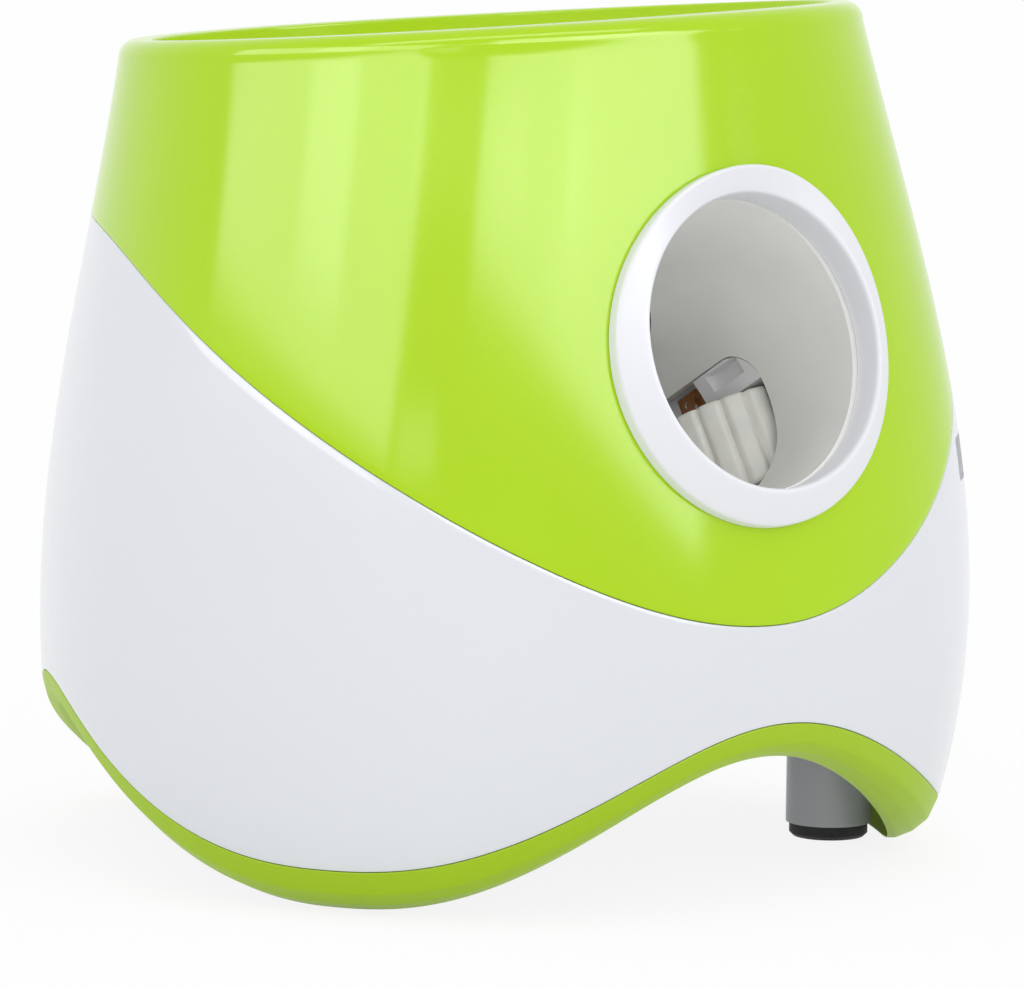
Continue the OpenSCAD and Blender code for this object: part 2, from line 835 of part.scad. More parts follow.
// Bar across the tube with the outline of the flywheel windows, from x0 to x1
module window_bar(x0, x1, shrink) {
    half = window_len / 2;
    top = window_up + window_h / 2;
    low = window_up - window_h / 2;
    outline = concat(
        window_arc(half - window_top_r, top - window_top_r, window_top_r, 0, shrink),
        window_arc(window_top_r - half, top - window_top_r, window_top_r, 90, shrink),
        window_arc(window_low_r - half, low + window_low_r, window_low_r, 180, shrink),
        window_arc(half - window_low_r, low + window_low_r, window_low_r, 270, shrink)
    );
    translate([x0, wheel_s, 0])
        rotate([90, 0, 90])
            linear_extrude(height = x1 - x0) polygon(outline);
}

module launch_tube() {
    slot_low = -tube_r - 2;
    slot_top = star_r - star_down + 1.5;
    color(tube_grey)
        difference() {
            in_tube()
                difference() {
                    along_tube(tube_r, -20, tube_len);
                    along_tube(tube_bore_r, -21, tube_len - tube_rear_t);
                    window_bar(-60, 60, 0);
                    translate([-star_slot_w / 2, star_s - star_r - 1.5, slot_low])
                        cube([star_slot_w, tube_len - star_s + star_r + 4, slot_top - slot_low]);
                }
            in_body()
                translate([0, -mouth_front, mouth_h])
                    rotate([-mouth_tilt, 0, 0])
                        translate([-60, sleeve_len + fit - 60, -60]) cube([120, 60, 120]);
            in_body()
                translate([0, -throat_front, tube_pt(star_s, 0)[2] + ball_r])
                    cylinder(r = throat_r + bowl_wall + 0.6, h = 80);
        }
}

// ------------------------------------------------------------------ drive frame

frame_front_y = tube_pt(wheel_s - deck_len / 2, deck_low_u)[1];
frame_rear_y = tube_pt(wheel_s + deck_len / 2, deck_low_u)[1];
frame_rear_z = tube_pt(wheel_s + deck_len / 2, deck_low_u)[2];
frame_front_z = tube_pt(wheel_s - deck_len / 2, deck_low_u)[2];
foot_screw_len = flange_foot_t + plate_t - 0.5;
nose_s = wheel_s - window_len / 2;
flange_x0 = frame_x - 1;
tie_y = min(star_at[1] - well_r - frame_t, frame_front_y);
flange_x1 = frame_x + frame_t + 10;
motor_screw_at = 0.73 * motor_r;
bracket_screw_x = deck_x - head_r - 1.5;
bracket_foot = deck_len / 2 - 2;
bracket_screw_s = bracket_foot - head_r - 1;
deck_x0 = wheel_x - motor_r - 9;
rib_x0 = deck_x0 - 7;
rib_x1 = deck_x0 + 3;

module at_frame_screws() {
    in_body()
        for (side = [-1, 1])
            for (y = [frame_front_y + 8, frame_rear_y - 12])
                translate([side * (flange_x1 - 5), y, plate_top + flange_foot_t]) children();
}

module at_wheels() {
    for (side = [-1, 1])
        in_tube() translate([side * wheel_x, wheel_s, 0]) children();
}

module at_motor_screws() {
    for (side = [-1, 1])
        for (turn = [-1, 1])
            in_tube()
                translate([side * wheel_x, wheel_s + turn * motor_screw_at, deck_top_u])
                    children();
}

module at_bracket_screws() {
    for (side = [-1, 1])
        for (s = [-1, 1])
            in_tube()
                translate([side * bracket_screw_x, wheel_s + s * bracket_screw_s, deck_top_u])
                    children();
}

module drive_frame() {
    color(light_grey)
        difference() {
            union() {
                for (side = [-1, 1]) {
                    in_tube()
                        translate([side > 0 ? deck_x0 : -deck_x, wheel_s - deck_len / 2, deck_low_u])
                            cube([deck_x - deck_x0, deck_len, deck_t]);
                    in_tube()
                        translate([side > 0 ? rib_x0 : -rib_x1, wheel_s - 8, deck_low_u - 5])
                            cube([rib_x1 - rib_x0, 16, deck_t + 5]);
                    in_body()
                        translate([side > 0 ? frame_x : -frame_x - frame_t, 0, 0])
                            frame_side();
                    in_body()
                        translate([side > 0 ? flange_x0 : -flange_x1, tie_y, plate_top])
                            cube([
                                flange_x1 - flange_x0,
                                frame_rear_y - tie_y,
                                flange_foot_t
                            ]);
                }
                in_body()
                    translate([-flange_x0 - 1, tie_y, plate_top])
                        cube([2 * flange_x0 + 2, frame_t, tie_h]);
            }
            in_tube() along_tube(tube_r + fit, -10, tube_len);
            at_wheels()
                translate([0, 0, deck_low_u - 1])
                    cylinder(r = motor_boss_r + fit, h = deck_t + 2);
            at_motor_screws() cylinder(r = screw_r + fit, h = 3 * deck_t, center = true);
            at_bracket_screws() cylinder(r = screw_r + fit / 3, h = 3 * deck_t, center = true);
            at_frame_screws() cylinder(r = screw_r + fit, h = 3 * flange_foot_t, center = true);
        }
}

// Upright side of the drive frame, under one deck
module frame_side() {
    rotate([90, 0, 90])
        linear_extrude(height = frame_t)
            polygon([
                [frame_front_y, plate_top],
                [frame_rear_y, plate_top],
                [frame_rear_y, frame_rear_z + 1],
                [frame_front_y, frame_front_z + 1]
            ]);
}

module frame_screws() {
    color(steel) at_frame_screws() translate([0, 0, fit / 3]) screw(foot_screw_len);
}

// Nose of a bracket: it fills the window above the flywheel, flush with the bore
module bracket_nose(x1) {
    difference() {
        intersection() {
            window_bar(20, x1, 2 * fit);
            translate([20, nose_s, arm_low_u])
                cube([x1 - 20, nose_len, arm_t]);
        }
        along_tube(tube_bore_r + 0.3, 0, tube_len);
    }
}

// Bearing bracket over one flywheel: a foot, a post, an arm and its nose
module bearing_bracket(side) {
    arm_x = tube_r + 0.6;
    post_x = wheel_x + wheel_r + 1.6;
    color(light_grey)
        in_tube()
            mirror([side > 0 ? 0 : 1, 0, 0])
                difference() {
                    union() {
                        translate([arm_x, wheel_s - arm_len / 2, arm_low_u])
                            cube([deck_x - arm_x, arm_len, arm_t]);
                        bracket_nose(arm_x + 3);
                        translate([post_x, wheel_s - 10, deck_top_u])
                            cube([deck_x - post_x, 20, arm_low_u + 2 - deck_top_u]);
                        translate([post_x, wheel_s - bracket_foot, deck_top_u])
                            cube([deck_x - post_x, 2 * bracket_foot, flange_foot_t]);
                    }
                    translate([34, nose_s + 5, arm_low_u + 3.8])
                        cube([5.5, nose_len - 10, 5]);
                    translate([wheel_x, wheel_s, arm_low_u - 1])
                        cylinder(r = bearing_r + shaft_fit, h = bearing_t + 1);
                    translate([wheel_x, wheel_s, arm_low_u])
                        cylinder(r = wheel_shaft_r + 1, h = bearing_t + 4);
                    for (s = [-1, 1])
                        translate([bracket_screw_x, wheel_s + s * bracket_screw_s, deck_top_u - 1])
                            cylinder(r = screw_r + fit, h = 2 * flange_foot_t);
                }
}

module bearing_bracket_right() {
    bearing_bracket(1);
}

module bearing_bracket_left() {
    bearing_bracket(-1);
}

module bracket_screws() {
    color(steel)
        at_bracket_screws()
            translate([0, 0, flange_foot_t + fit / 3]) screw(flange_foot_t + deck_t - 0.5);
}

module wheel_bearings() {
    color(steel)
        at_wheels()
            translate([0, 0, arm_low_u])
                difference() {
                    cylinder(r = bearing_r, h = bearing_t - fit);
                    translate([0, 0, -1])
                        cylinder(r = wheel_shaft_r + shaft_fit, h = bearing_t + 2);
                }
}

// -------------------------------------------------------------------- flywheels

module at_wheel(side) {
    in_tube() translate([side * wheel_x, wheel_s, 0]) children();
}

// Hub: a rim, a web and a bored boss, turned in one piece
module flywheel_hub(side) {
    rim_t = 3.5;
    web_t = 4;
    color(light_grey)
        at_wheel(side)
            translate([0, 0, wheel_low_u])
                difference() {
                    union() {
                        difference() {
                            cylinder(r = hub_r, h = wheel_w);
                            translate([0, 0, -1]) cylinder(r = hub_r - rim_t, h = wheel_w + 2);
                        }
                        translate([0, 0, (wheel_w - web_t) / 2])
                            cylinder(r = hub_r - rim_t + 0.5, h = web_t);
                        cylinder(r = 6, h = wheel_w);
                    }
                    translate([0, 0, -1]) cylinder(r = wheel_shaft_r + shaft_fit, h = wheel_w + 2);
                    for (turn = [0:60:300])
                        rotate([0, 0, turn])
                            translate([12, 0, -1]) cylinder(r = 3.5, h = wheel_w + 2);
                }
}

module flywheel_hub_right() {
    flywheel_hub(1);
}

module flywheel_hub_left() {
    flywheel_hub(-1);
}

// Outline of the ribbed tread: each rib is four points
function tread_outline() =
    let (pitch = 360 / ribs, foot = 0.34, crest = 0.26)
    [for (i = [0:ribs - 1]) for (p = [
        [-foot, wheel_r - groove_depth],
        [-crest, wheel_r - 0.25],
        [0, wheel_r],
        [crest, wheel_r - 0.25],
        [foot, wheel_r - groove_depth]
    ])
        let (a = (i + p[0]) * pitch) p[1] * [cos(a), sin(a)]];

module flywheel_tread(side) {
    color(white)
        at_wheel(side)
            translate([0, 0, wheel_low_u])
                difference() {
                    linear_extrude(height = wheel_w) polygon(tread_outline());
                    translate([0, 0, -1]) cylinder(r = hub_r + fit / 5, h = wheel_w + 2);
                }
}

module flywheel_tread_right() {
    flywheel_tread(1);
}

module flywheel_tread_left() {
    flywheel_tread(-1);
}

module wheel_shaft(side) {
    shaft_low = deck_low_u - 10;
    shaft_top = arm_low_u + bearing_t + 1.5;
    color(steel)
        at_wheel(side)
            translate([0, 0, shaft_low]) cylinder(r = wheel_shaft_r, h = shaft_top - shaft_low);
}

module wheel_shaft_right() {
    wheel_shaft(1);
}

module wheel_shaft_left() {
    wheel_shaft(-1);
}

// Flywheel motor: a can, a front boss and an end cap with two tags
module wheel_motor(side) {
    color(steel)
        at_wheel(side)
            difference() {
                union() {
                    translate([0, 0, deck_low_u - motor_len])
                        cylinder(r = motor_r, h = motor_len);
                    translate([0, 0, deck_low_u - 1])
                        cylinder(r = motor_boss_r, h = deck_t);
                    translate([0, 0, deck_low_u - motor_len - 2])
                        cylinder(r = motor_r * 0.45, h = 3);
                    for (turn = [-1, 1])
                        translate([turn * motor_r * 0.6 - 0.4, -1.5, deck_low_u - motor_len - 4])
                            cube([0.8, 3, 5]);
                }
                translate([0, 0, deck_low_u - 11])
                    cylinder(r = wheel_shaft_r + shaft_fit, h = 20);
                for (turn = [-1, 1])
                    translate([0, turn * motor_screw_at, deck_low_u - bite])
                        cylinder(r = screw_r + fit / 3, h = bite + 2);
            }
}

module wheel_motor_right() {
    wheel_motor(1);
}

module wheel_motor_left() {
    wheel_motor(-1);
}

module motor_screws() {
    color(steel) at_motor_screws() translate([0, 0, fit / 3]) screw(deck_t + bite - 1);
}

// --------------------------------------------------------------------- ball feed

// Star of three arms that pushes each ball up the tube
module feed_star() {
    color(white)
        in_body()
            translate([-star_w / 2, star_at[1], star_at[2]])
                rotate([0, 90, 0])
                    difference() {
                        union() {
                            cylinder(r = star_hub_r, h = star_w);
                            for (turn = [0:120:240])
                                rotate([0, 0, turn]) {
                                    translate([0, -arm_w / 2, 0])
                                        cube([star_r - arm_w / 2, arm_w, star_w]);
                                    translate([star_r - arm_w / 2, 0, 0])
                                        cylinder(r = arm_w / 2, h = star_w);
                                }
                        }
                        translate([0, 0, -1])
                            cylinder(r = feed_shaft_r + shaft_fit, h = star_w + 2);
                    }
}

module feed_shaft() {
    shaft_x0 = block_x0 - 2;
    shaft_x1 = block_x1 + block_t + 2;
    color(steel)
        in_body()
            translate([shaft_x0, star_at[1], star_at[2]])
                rotate([0, 90, 0]) cylinder(r = feed_shaft_r, h = shaft_x1 - shaft_x0);
}

// Involute gear outline: half the angle that a tooth takes at a radius
function inv(alpha) = tan(alpha) * 180 / PI - alpha;
function half_tooth(teeth, r) =
    let (
        pitch_r = gear_size * teeth / 2,
        base_r = pitch_r * cos(20),
        alpha = r <= base_r ? 0 : acos(base_r / r),
        play = backlash / 4 / pitch_r * 180 / PI
    )
    90 / teeth + inv(20) - inv(alpha) - play;

function gear_outline(teeth) =
    let (
        pitch_r = gear_size * teeth / 2,
        root_r = pitch_r - 1.2 * gear_size,
        tip_r = pitch_r + 0.85 * gear_size,
        radii = [root_r, pitch_r - 0.4 * gear_size, pitch_r, pitch_r + 0.45 * gear_size, tip_r]
    )
    [for (i = [0:teeth - 1])
        for (side = [-1, 1])
            for (k = side < 0 ? [0:4] : [4:-1:0])
                let (a = i * 360 / teeth + side * half_tooth(teeth, radii[k]))
                radii[k] * [cos(a), sin(a)]];

module gear(teeth, turn, bore_r) {
    rotate([0, 90, 0])
        rotate([0, 0, turn])
            difference() {
                linear_extrude(height = gear_w) polygon(gear_outline(teeth));
                translate([0, 0, -1]) cylinder(r = bore_r, h = gear_w + 2);
            }
}

module feed_gear() {
    color(white)
        in_body()
            translate([gear_x, star_at[1], star_at[2]])
                gear(gear_teeth, 90, feed_shaft_r + shaft_fit);
}

// The pinion is turned so that one of its gaps faces a tooth of the gear
module feed_pinion() {
    color(light_grey)
        in_body()
            translate([gear_x, pinion_at[1], pinion_at[2]])
                gear(pinion_teeth, -90 + 180 / pinion_teeth, pinion_shaft_r + shaft_fit);
}

module pinion_shaft() {
    shaft_x0 = gear_x - 1;
    color(steel)
        in_body()
            translate([shaft_x0, pinion_at[1], pinion_at[2]])
                rotate([0, 90, 0])
                    cylinder(r = pinion_shaft_r, h = bracket_x + bracket_t + 8 - shaft_x0);
}

module feed_motor() {
    face_x = bracket_x + bracket_t;
    color(steel)
        in_body()
            translate([face_x, pinion_at[1], pinion_at[2]])
                rotate([0, 90, 0])
                    difference() {
                        union() {
                            translate([0, 0, -bracket_t]) cylinder(r = 4, h = bracket_t + 1);
                            cylinder(r = gearbox_r, h = gearbox_len);
                            translate([0, 0, gearbox_len - 1])
                                cylinder(r = feed_can_r, h = feed_can_len + 1);
                            translate([0, 0, gearbox_len + feed_can_len - 1])
                                cylinder(r = 4, h = 2.5);
                        }
                        translate([0, 0, -bracket_t - 1])
                            cylinder(r = pinion_shaft_r + shaft_fit, h = bracket_t + 10);
                    }
}

module feed_motor_bracket() {
    half_w = gearbox_r + 1.5;
    cradle_x = bracket_x + bracket_t;
    color(light_grey)
        in_body()
            difference() {
                union() {
                    translate([bracket_x, pinion_at[1] - half_w, plate_top])
                        cube([bracket_t, 2 * half_w, pinion_at[2] + gearbox_r + 2 - plate_top]);
                    translate([bracket_x, pinion_at[1] - gearbox_r / 2, plate_top])
                        cube([gearbox_len, half_w + gearbox_r / 2, pinion_at[2] - 6 - plate_top]);
                }
                translate([bracket_x - 1, pinion_at[1], pinion_at[2]])
                    rotate([0, 90, 0]) cylinder(r = 4 + fit, h = 6);
                translate([cradle_x, pinion_at[1], pinion_at[2]])
                    rotate([0, 90, 0]) cylinder(r = gearbox_r + fit, h = 40);
            }
}

module at_block_screws() {
    at_blocks()
        for (side = [-1, 1])
            translate([block_t / 2, side * (block_r + head_r + fit), plate_top + flange_foot_t])
                children();
}

module shaft_blocks() {
    color(light_grey)
        difference() {
            at_blocks()
                union() {
                    translate([0, -block_r, plate_top])
                        cube([block_t, 2 * block_r, star_at[2] - plate_top]);
                    translate([0, 0, star_at[2]])
                        rotate([0, 90, 0]) cylinder(r = block_r, h = block_t);
                    translate([0, -block_foot, plate_top])
                        cube([block_t, 2 * block_foot, flange_foot_t]);
                }
            at_blocks()
                translate([-1, 0, star_at[2]])
                    rotate([0, 90, 0]) cylinder(r = feed_shaft_r + shaft_fit, h = block_t + 2);
            at_block_screws()
                cylinder(r = screw_r + fit, h = 3 * flange_foot_t, center = true);
        }
}

module block_screws() {
    color(steel) at_block_screws() translate([0, 0, fit / 3]) screw(foot_screw_len);
}

// ----------------------------------------------------------------------- battery

// Outline of the battery door with its two screw tabs
module door_outline(grow, h) {
    translate([-battery_x - grow, battery_back - battery_y - grow, 0])
        cube([2 * (battery_x + grow), 2 * (battery_y + grow), h]);
    translate([-tab_x - 5 - grow, battery_back - tab_w / 2 - grow, 0])
        cube([2 * (tab_x + 5 + grow), tab_w + 2 * grow, h]);
}

module battery_door() {
    rib_x = cell_len / 2;
    color(white)
        difference() {
            in_body()
                union() {
                    translate([0, 0, plate_h]) door_outline(0, door_t);
                    for (side = [-1, 1])
                        translate([side * rib_x - 8, battery_back - battery_in_y + 2, plate_h])
                            cube([16, 2 * battery_in_y - 4, door_t + door_rib_h]);
                }
            at_door_screws()
                translate([0, 0, plate_h - 1]) cylinder(r = screw_r + fit, h = 6);
        }
}

module door_screws() {
    color(steel)
        at_door_screws()
            translate([0, 0, plate_h - fit / 3]) rotate([180, 0, 0]) screw(plate_t + bite);
}

module battery_box() {
    color(white)
        in_body()
            union() {
                difference() {
                    translate([-battery_x, battery_back - battery_y, plate_top])
                        cube([2 * battery_x, 2 * battery_y, box_top - plate_top]);
                    translate([-battery_in_x, battery_back - battery_in_y, plate_top - 1])
                        cube([2 * battery_in_x, 2 * battery_in_y, box_top - box_wall - plate_top + 1]);
                }
                at_board_posts()
                    translate([0, 0, box_top - 0.5]) cylinder(r = 3, h = post_h + 0.5);
            }
}

module at_cells() {
    for (side = [-1, 1])
        for (i = [0:cell_rows - 1])
            translate([
                side * (cell_len + cell_gap) / 2,
                battery_back + (i - (cell_rows - 1) / 2) * (2 * cell_r + cell_gap),
                cells_z
            ])
                children();
}

module battery_cells() {
    color([0.75, 0.55, 0.2])
        in_body()
            at_cells()
                rotate([0, 90, 0])
                    union() {
                        cylinder(r = cell_r, h = cell_len - 1.5, center = true);
                        translate([0, 0, cell_len / 2 - 0.75]) cylinder(r = 3, h = 0.75);
                        translate([0, 0, -cell_len / 2]) cylinder(r = 9, h = 1);
                    }
}

// Sprung metal strips at both ends of each row
module battery_contacts() {
    color(steel)
        in_body()
            for (side = [-1, 1])
                for (i = [0:cell_rows - 1])
                    translate([
                        side * (battery_in_x - 0.35),
                        battery_back + (i - (cell_rows - 1) / 2) * (2 * cell_r + cell_gap),
                        cells_z
                    ])
                        union() {
                            cube([0.5, 2 * cell_r - 6, 2 * cell_r - 8], center = true);
                            translate([side > 0 ? -contact_gap + 0.5 : 0, 0, 0])
                                rotate([0, 90, 0]) cylinder(r = 4, h = contact_gap - 0.5);
                        }
}

// ------------------------------------------------------------------- electronics

module at_board_posts() {
    for (sx = [-1, 1])
        for (sy = [-1, 1])
            translate([sx * (board_w / 2 - 5), battery_back + sy * (board_len / 2 - 5), 0])
                children();
}

// Main board on the battery box, with its relay, capacitors and plugs
module main_board() {
    z0 = box_top + post_h + fit / 3;
    color(board_green)
        in_body()
            translate([0, battery_back, z0])
                union() {
                    translate([-board_w / 2, -board_len / 2, 0])
                        cube([board_w, board_len, board_t]);
                    translate([-24, -12, board_t - 0.2]) cube([18, 15, 14.2]);
                    translate([2, -18, board_t - 0.2]) cube([16, 12, 3.2]);
                    for (x = [6, 20])
                        translate([x, 8, board_t - 0.2]) cylinder(r = 5, h = 14);
                    for (x = [-28, -14, 0, 14])
                        translate([x, 18, board_t - 0.2]) cube([10, 5, 6.2]);
                }
}

module at_panel() {
    on_wall(180, panel_h) children();
}

module control_panel() {
    color(light_grey)
        at_panel()
            difference() {
                union() {
                    rounded_plate(panel_w, panel_len, panel_r, -panel_proud, panel_back);
                    rounded_plate(panel_w + 8, panel_len + 8, panel_r, panel_back - 1.5, panel_back);
                }
                rounded_plate(
                    panel_w - 4, panel_len - 4, panel_r - 2, -panel_proud + 2, panel_back + 1
                );
                for (side = [-1, 1])
                    translate([0, 0, side * button_pitch / 2])
                        rotate([90, 0, 0])
                            cylinder(r = button_r + 0.3, h = 20, center = true);
                for (x = [-1, 0, 1])
                    translate([x * 7, 0, 0])
                        rotate([90, 0, 0]) cylinder(r = 1.5 + fit / 3, h = 20, center = true);
            }
}

// Button with a collar behind the panel: 1 is the upper one, -1 the lower one
module push_button(side) {
    collar_y = -panel_proud + 2 + 0.3;
    translate([0, 0, side * button_pitch / 2])
        rotate([90, 0, 0])
            union() {
                translate([0, 0, -collar_y])
                    cylinder(r = button_r, h = panel_proud + button_proud + collar_y);
                translate([0, 0, -collar_y - 1.2]) cylinder(r = button_r + 1.5, h = 1.2);
            }
}

module power_button() {
    color(dark_grey) at_panel() push_button(1);
}

module distance_button() {
    color(green) at_panel() push_button(-1);
}

module indicator_lenses() {
    color([0.9, 0.35, 0.15])
        at_panel()
            for (x = [-1, 0, 1])
                translate([x * 7, 0, 0])
                    rotate([90, 0, 0])
                        translate([0, 0, -3.6]) cylinder(r = 1.5, h = panel_proud + 4);
}

// Board behind the panel: its switches stop the buttons at the end of their travel
module control_board() {
    board_y = panel_back + fit / 3;
    switch_y = -panel_proud + 2 + 0.3 + 1.2 + button_travel + 0.1;
    color(board_green)
        at_panel()
            union() {
                rounded_plate(panel_w + 6, panel_len + 6, panel_r, board_y, board_y + board_t);
                for (side = [-1, 1])
                    translate([-3, switch_y, side * button_pitch / 2 - 3])
                        cube([6, board_y + 0.5 - switch_y, 6]);
                translate([-9, 3.7, -2]) cube([18, board_y + 0.5 - 3.7, 4]);
            }
}

// Dark plate of the power inlet, sunk in the wall
module inlet_plate() {
    color(black)
        on_wall(inlet_angle, inlet_h)
            difference() {
                union() {
                    rounded_plate(inlet_w, inlet_len, 2, inlet_sunk, 9);
                    rounded_plate(inlet_w + 6, inlet_len + 6, 2, 6.5, 9);
                }
                rotate([90, 0, 0]) cylinder(r = socket_r + fit + 1.2, h = 30, center = true);
            }
}

// Barrel socket with its centre pin
module inlet_socket() {
    color(dark_grey)
        on_wall(inlet_angle, inlet_h)
            rotate([90, 0, 0])
                union() {
                    difference() {
                        translate([0, 0, -socket_len])
                            cylinder(r = socket_r + 1.2, h = socket_len - inlet_sunk);
                        translate([0, 0, 4 - socket_len]) cylinder(r = socket_r, h = socket_len);
                    }
                    translate([0, 0, 3 - socket_len])
                        cylinder(r = 1, h = socket_len - inlet_sunk - 4.5);
                }
}

// Brown board of the ball sensor, on the right bracket's arm beside its nose
module sensor_board() {
    x1 = tube_r + 0.6 - fit;
    s0 = nose_s + nose_len + 1;
    color(brown)
        in_tube()
            union() {
                translate([x1 - sensor_t, s0, arm_low_u + 0.6]) cube([sensor_t, 12, 8.6]);
                translate([x1 - sensor_t - 1.2, s0 + 4, arm_low_u + 2.6]) cube([2, 4, 4]);
            }
}

// ---------------------------------------------------------------------- assembly

upper_shell();
lower_shell();
base_trim();
base_plate();
foot_pads();
base_screws();
hopper_bowl();
mouth_ring();
launch_tube();
drive_frame();
frame_screws();
bearing_bracket_right();
bearing_bracket_left();
bracket_screws();
wheel_bearings();
flywheel_hub_right();
flywheel_hub_left();
flywheel_tread_right();
flywheel_tread_left();
wheel_shaft_right();
wheel_shaft_left();
wheel_motor_right();
wheel_motor_left();
motor_screws();
feed_star();
feed_shaft();
feed_gear();
feed_pinion();
pinion_shaft();
feed_motor();
feed_motor_bracket();
shaft_blocks();
block_screws();
battery_box();
battery_cells();
battery_contacts();
battery_door();
door_screws();
main_board();
control_panel();
control_board();
power_button();
distance_button();
indicator_lenses();
inlet_plate();
inlet_socket();
sensor_board();
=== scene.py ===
"""Looks of an automatic ball launcher for small dogs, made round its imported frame.

The outer shells, the trim, the mouth ring, the hopper and the flywheel treads are
modelled here as smooth meshes by the body's own rules, in millimetres; all the
other pieces keep their construction and get a finish. Angles round the body start
at the front and grow towards +X.
"""

import json
import math

import bmesh
import bpy
from mathutils import Matrix, Vector


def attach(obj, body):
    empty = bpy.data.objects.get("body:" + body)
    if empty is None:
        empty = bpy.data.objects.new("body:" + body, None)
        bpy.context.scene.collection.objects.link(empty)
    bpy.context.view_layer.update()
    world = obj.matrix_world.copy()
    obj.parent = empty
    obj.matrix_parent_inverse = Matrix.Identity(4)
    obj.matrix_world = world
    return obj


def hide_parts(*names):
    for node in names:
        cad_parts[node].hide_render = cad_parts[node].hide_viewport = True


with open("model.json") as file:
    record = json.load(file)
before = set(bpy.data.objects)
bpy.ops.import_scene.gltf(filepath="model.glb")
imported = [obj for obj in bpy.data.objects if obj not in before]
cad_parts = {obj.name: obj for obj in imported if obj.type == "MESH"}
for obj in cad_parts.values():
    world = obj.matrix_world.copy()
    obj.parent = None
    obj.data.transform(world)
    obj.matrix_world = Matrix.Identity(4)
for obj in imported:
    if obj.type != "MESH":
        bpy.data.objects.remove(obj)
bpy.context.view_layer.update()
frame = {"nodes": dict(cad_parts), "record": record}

MM = 0.001

# ---------------------------------------------------------------- driving sizes, mm

# Body
RIM_H = 230.0
FOOT_R = 126.0
RIM_R = 101.5
FOOT_REF_H = 30.0
BELLY = 9.0
BELLY_LOW = 5.5
LOBE_FOOT = 0.037
LOBE_MID = 0.054
LOBE_RIM = 0.022
RIM_BACK = 5.0
RIM_TILT = 5.6
TILT_FROM_H = 25.0
SHOULDER_R = 5.0
WALL = 2.8

# Seam between the green and the white shell
SEAM_FRONT_H = 77.0
SEAM_BACK_RISE = 91.0
SEAM_SIDE_RISE = 38.5
SEAM_RIGHT_RISE = 21.0
LAP = 5.0
SEAM_GAP = 0.2
FIT = 0.15
EDGE = 0.35

# Base trim
ARCH_H = 39.8
ARCH_POWER = 1.24
FOOT_GAP = 1.0
TRIM_FOOT_H = 13.1
TRIM_RISE = 36.7
TRIM_INSET = 8.0
TRIM_EDGE = 3.0

# Mouth and its ring
MOUTH_H = 152.4
MOUTH_TILT = 16.5
RING_R = 48.5
RING_DROP = 1.2
RING_BORE_R = 40.2
RING_PROUD = 4.2
RING_EDGE = 3.0
SLEEVE_LEN = 6.0
SLEEVE_WALL = 3.0

# Launch tube, rim and hopper
TUBE_TILT = 31.0
LIP_W = 9.0
LEDGE_W = 4.0
LEDGE_DEPTH = 6.4
BOWL_WALL = 2.4
FLANGE_T = 2.0
THROAT_TOP_H = 170.0
THROAT_END_H = 143.0
THROAT_R = 28.0
THROAT_FRONT = 20.0

# Flywheels
WHEEL_R = 28.0
TREAD_T = 6.0
WHEEL_W = 26.0
WHEEL_X = 50.0
WHEEL_S = 68.0
WHEEL_TOP_U = 4.0
RIBS = 24
RIB_STEPS = 12
CREST_SHARE = 0.55
TREAD_END_R = 1.4
GROOVE_DEPTH = 1.6

# What opens or stands in the lower shell
PLATE_TOP = 48.5
BOSS_R = 5.6
BOSS_TOP = PLATE_TOP + 15.0
BOSS_IN = WALL + 4.8
FOOT_ANGLES = (-60.0, 60.0, 180.0)
PANEL_H = 118.0
PANEL_W = 34.0
PANEL_LEN = 56.0
PANEL_CORNER = 6.0
PANEL_CUT = (-8, 12)
INLET_ANGLE = 49.0
INLET_H = 110.5
INLET_W = 16.0
INLET_LEN = 12.0
INLET_CORNER = 2.0
INLET_CUT = (-6, 9)

# Camera, seen from the body's axis: its angle round it, its distance and its height
CAMERA_ANGLE = -40.645
CAMERA_AWAY = 2789.2
CAMERA_H = 507.0
CAMERA_YAW = -0.131
CAMERA_PITCH = -8.338
CAMERA_ROLL = -0.714
CAMERA_LENS = 357.2

STEPS_ROUND = 360


# ------------------------------------------------------------------- body surface


def sin(a):
    return math.sin(math.radians(a))


def cos(a):
    return math.cos(math.radians(a))


def rise(z):
    return (z - FOOT_REF_H) / (RIM_H - FOOT_REF_H)


def round_r(t):
    swell = 4 * t * (1 - t) * (BELLY - 2 * BELLY_LOW * (t - 0.5))
    return FOOT_R * (1 - t) + RIM_R * t + swell


def lobe(t):
    foot = LOBE_FOOT * (1 - t) * (1 - 2 * t)
    rim = LOBE_RIM * t * (2 * t - 1)
    return foot + rim + 4 * LOBE_MID * t * (1 - t)


def level_r(a, z):
    """Wall radius before the rim is sloped."""
    t = rise(z)
    return round_r(t) * (1 - lobe(t) * cos(3 * a)) - RIM_BACK * t * cos(a)


def rim_rise(a):
    return math.tan(math.radians(RIM_TILT)) * cos(a) * level_r(a, RIM_H)


def rim_z(a):
    return RIM_H + rim_rise(a)


def skin_r(a, z):
    """Outer wall radius at an angle and a height."""
    if z > TILT_FROM_H:
        z = TILT_FROM_H + (z - TILT_FROM_H) / (1 + rim_rise(a) / (RIM_H - TILT_FROM_H))
    return level_r(a, z)


def arch(a):
    return ((1 + cos(3 * a)) / 2) ** ARCH_POWER


def trim_low_z(a):
    return FOOT_GAP + (ARCH_H - FOOT_GAP) * arch(a)


def trim_top_z(a):
    return TRIM_FOOT_H + TRIM_RISE * arch(a)


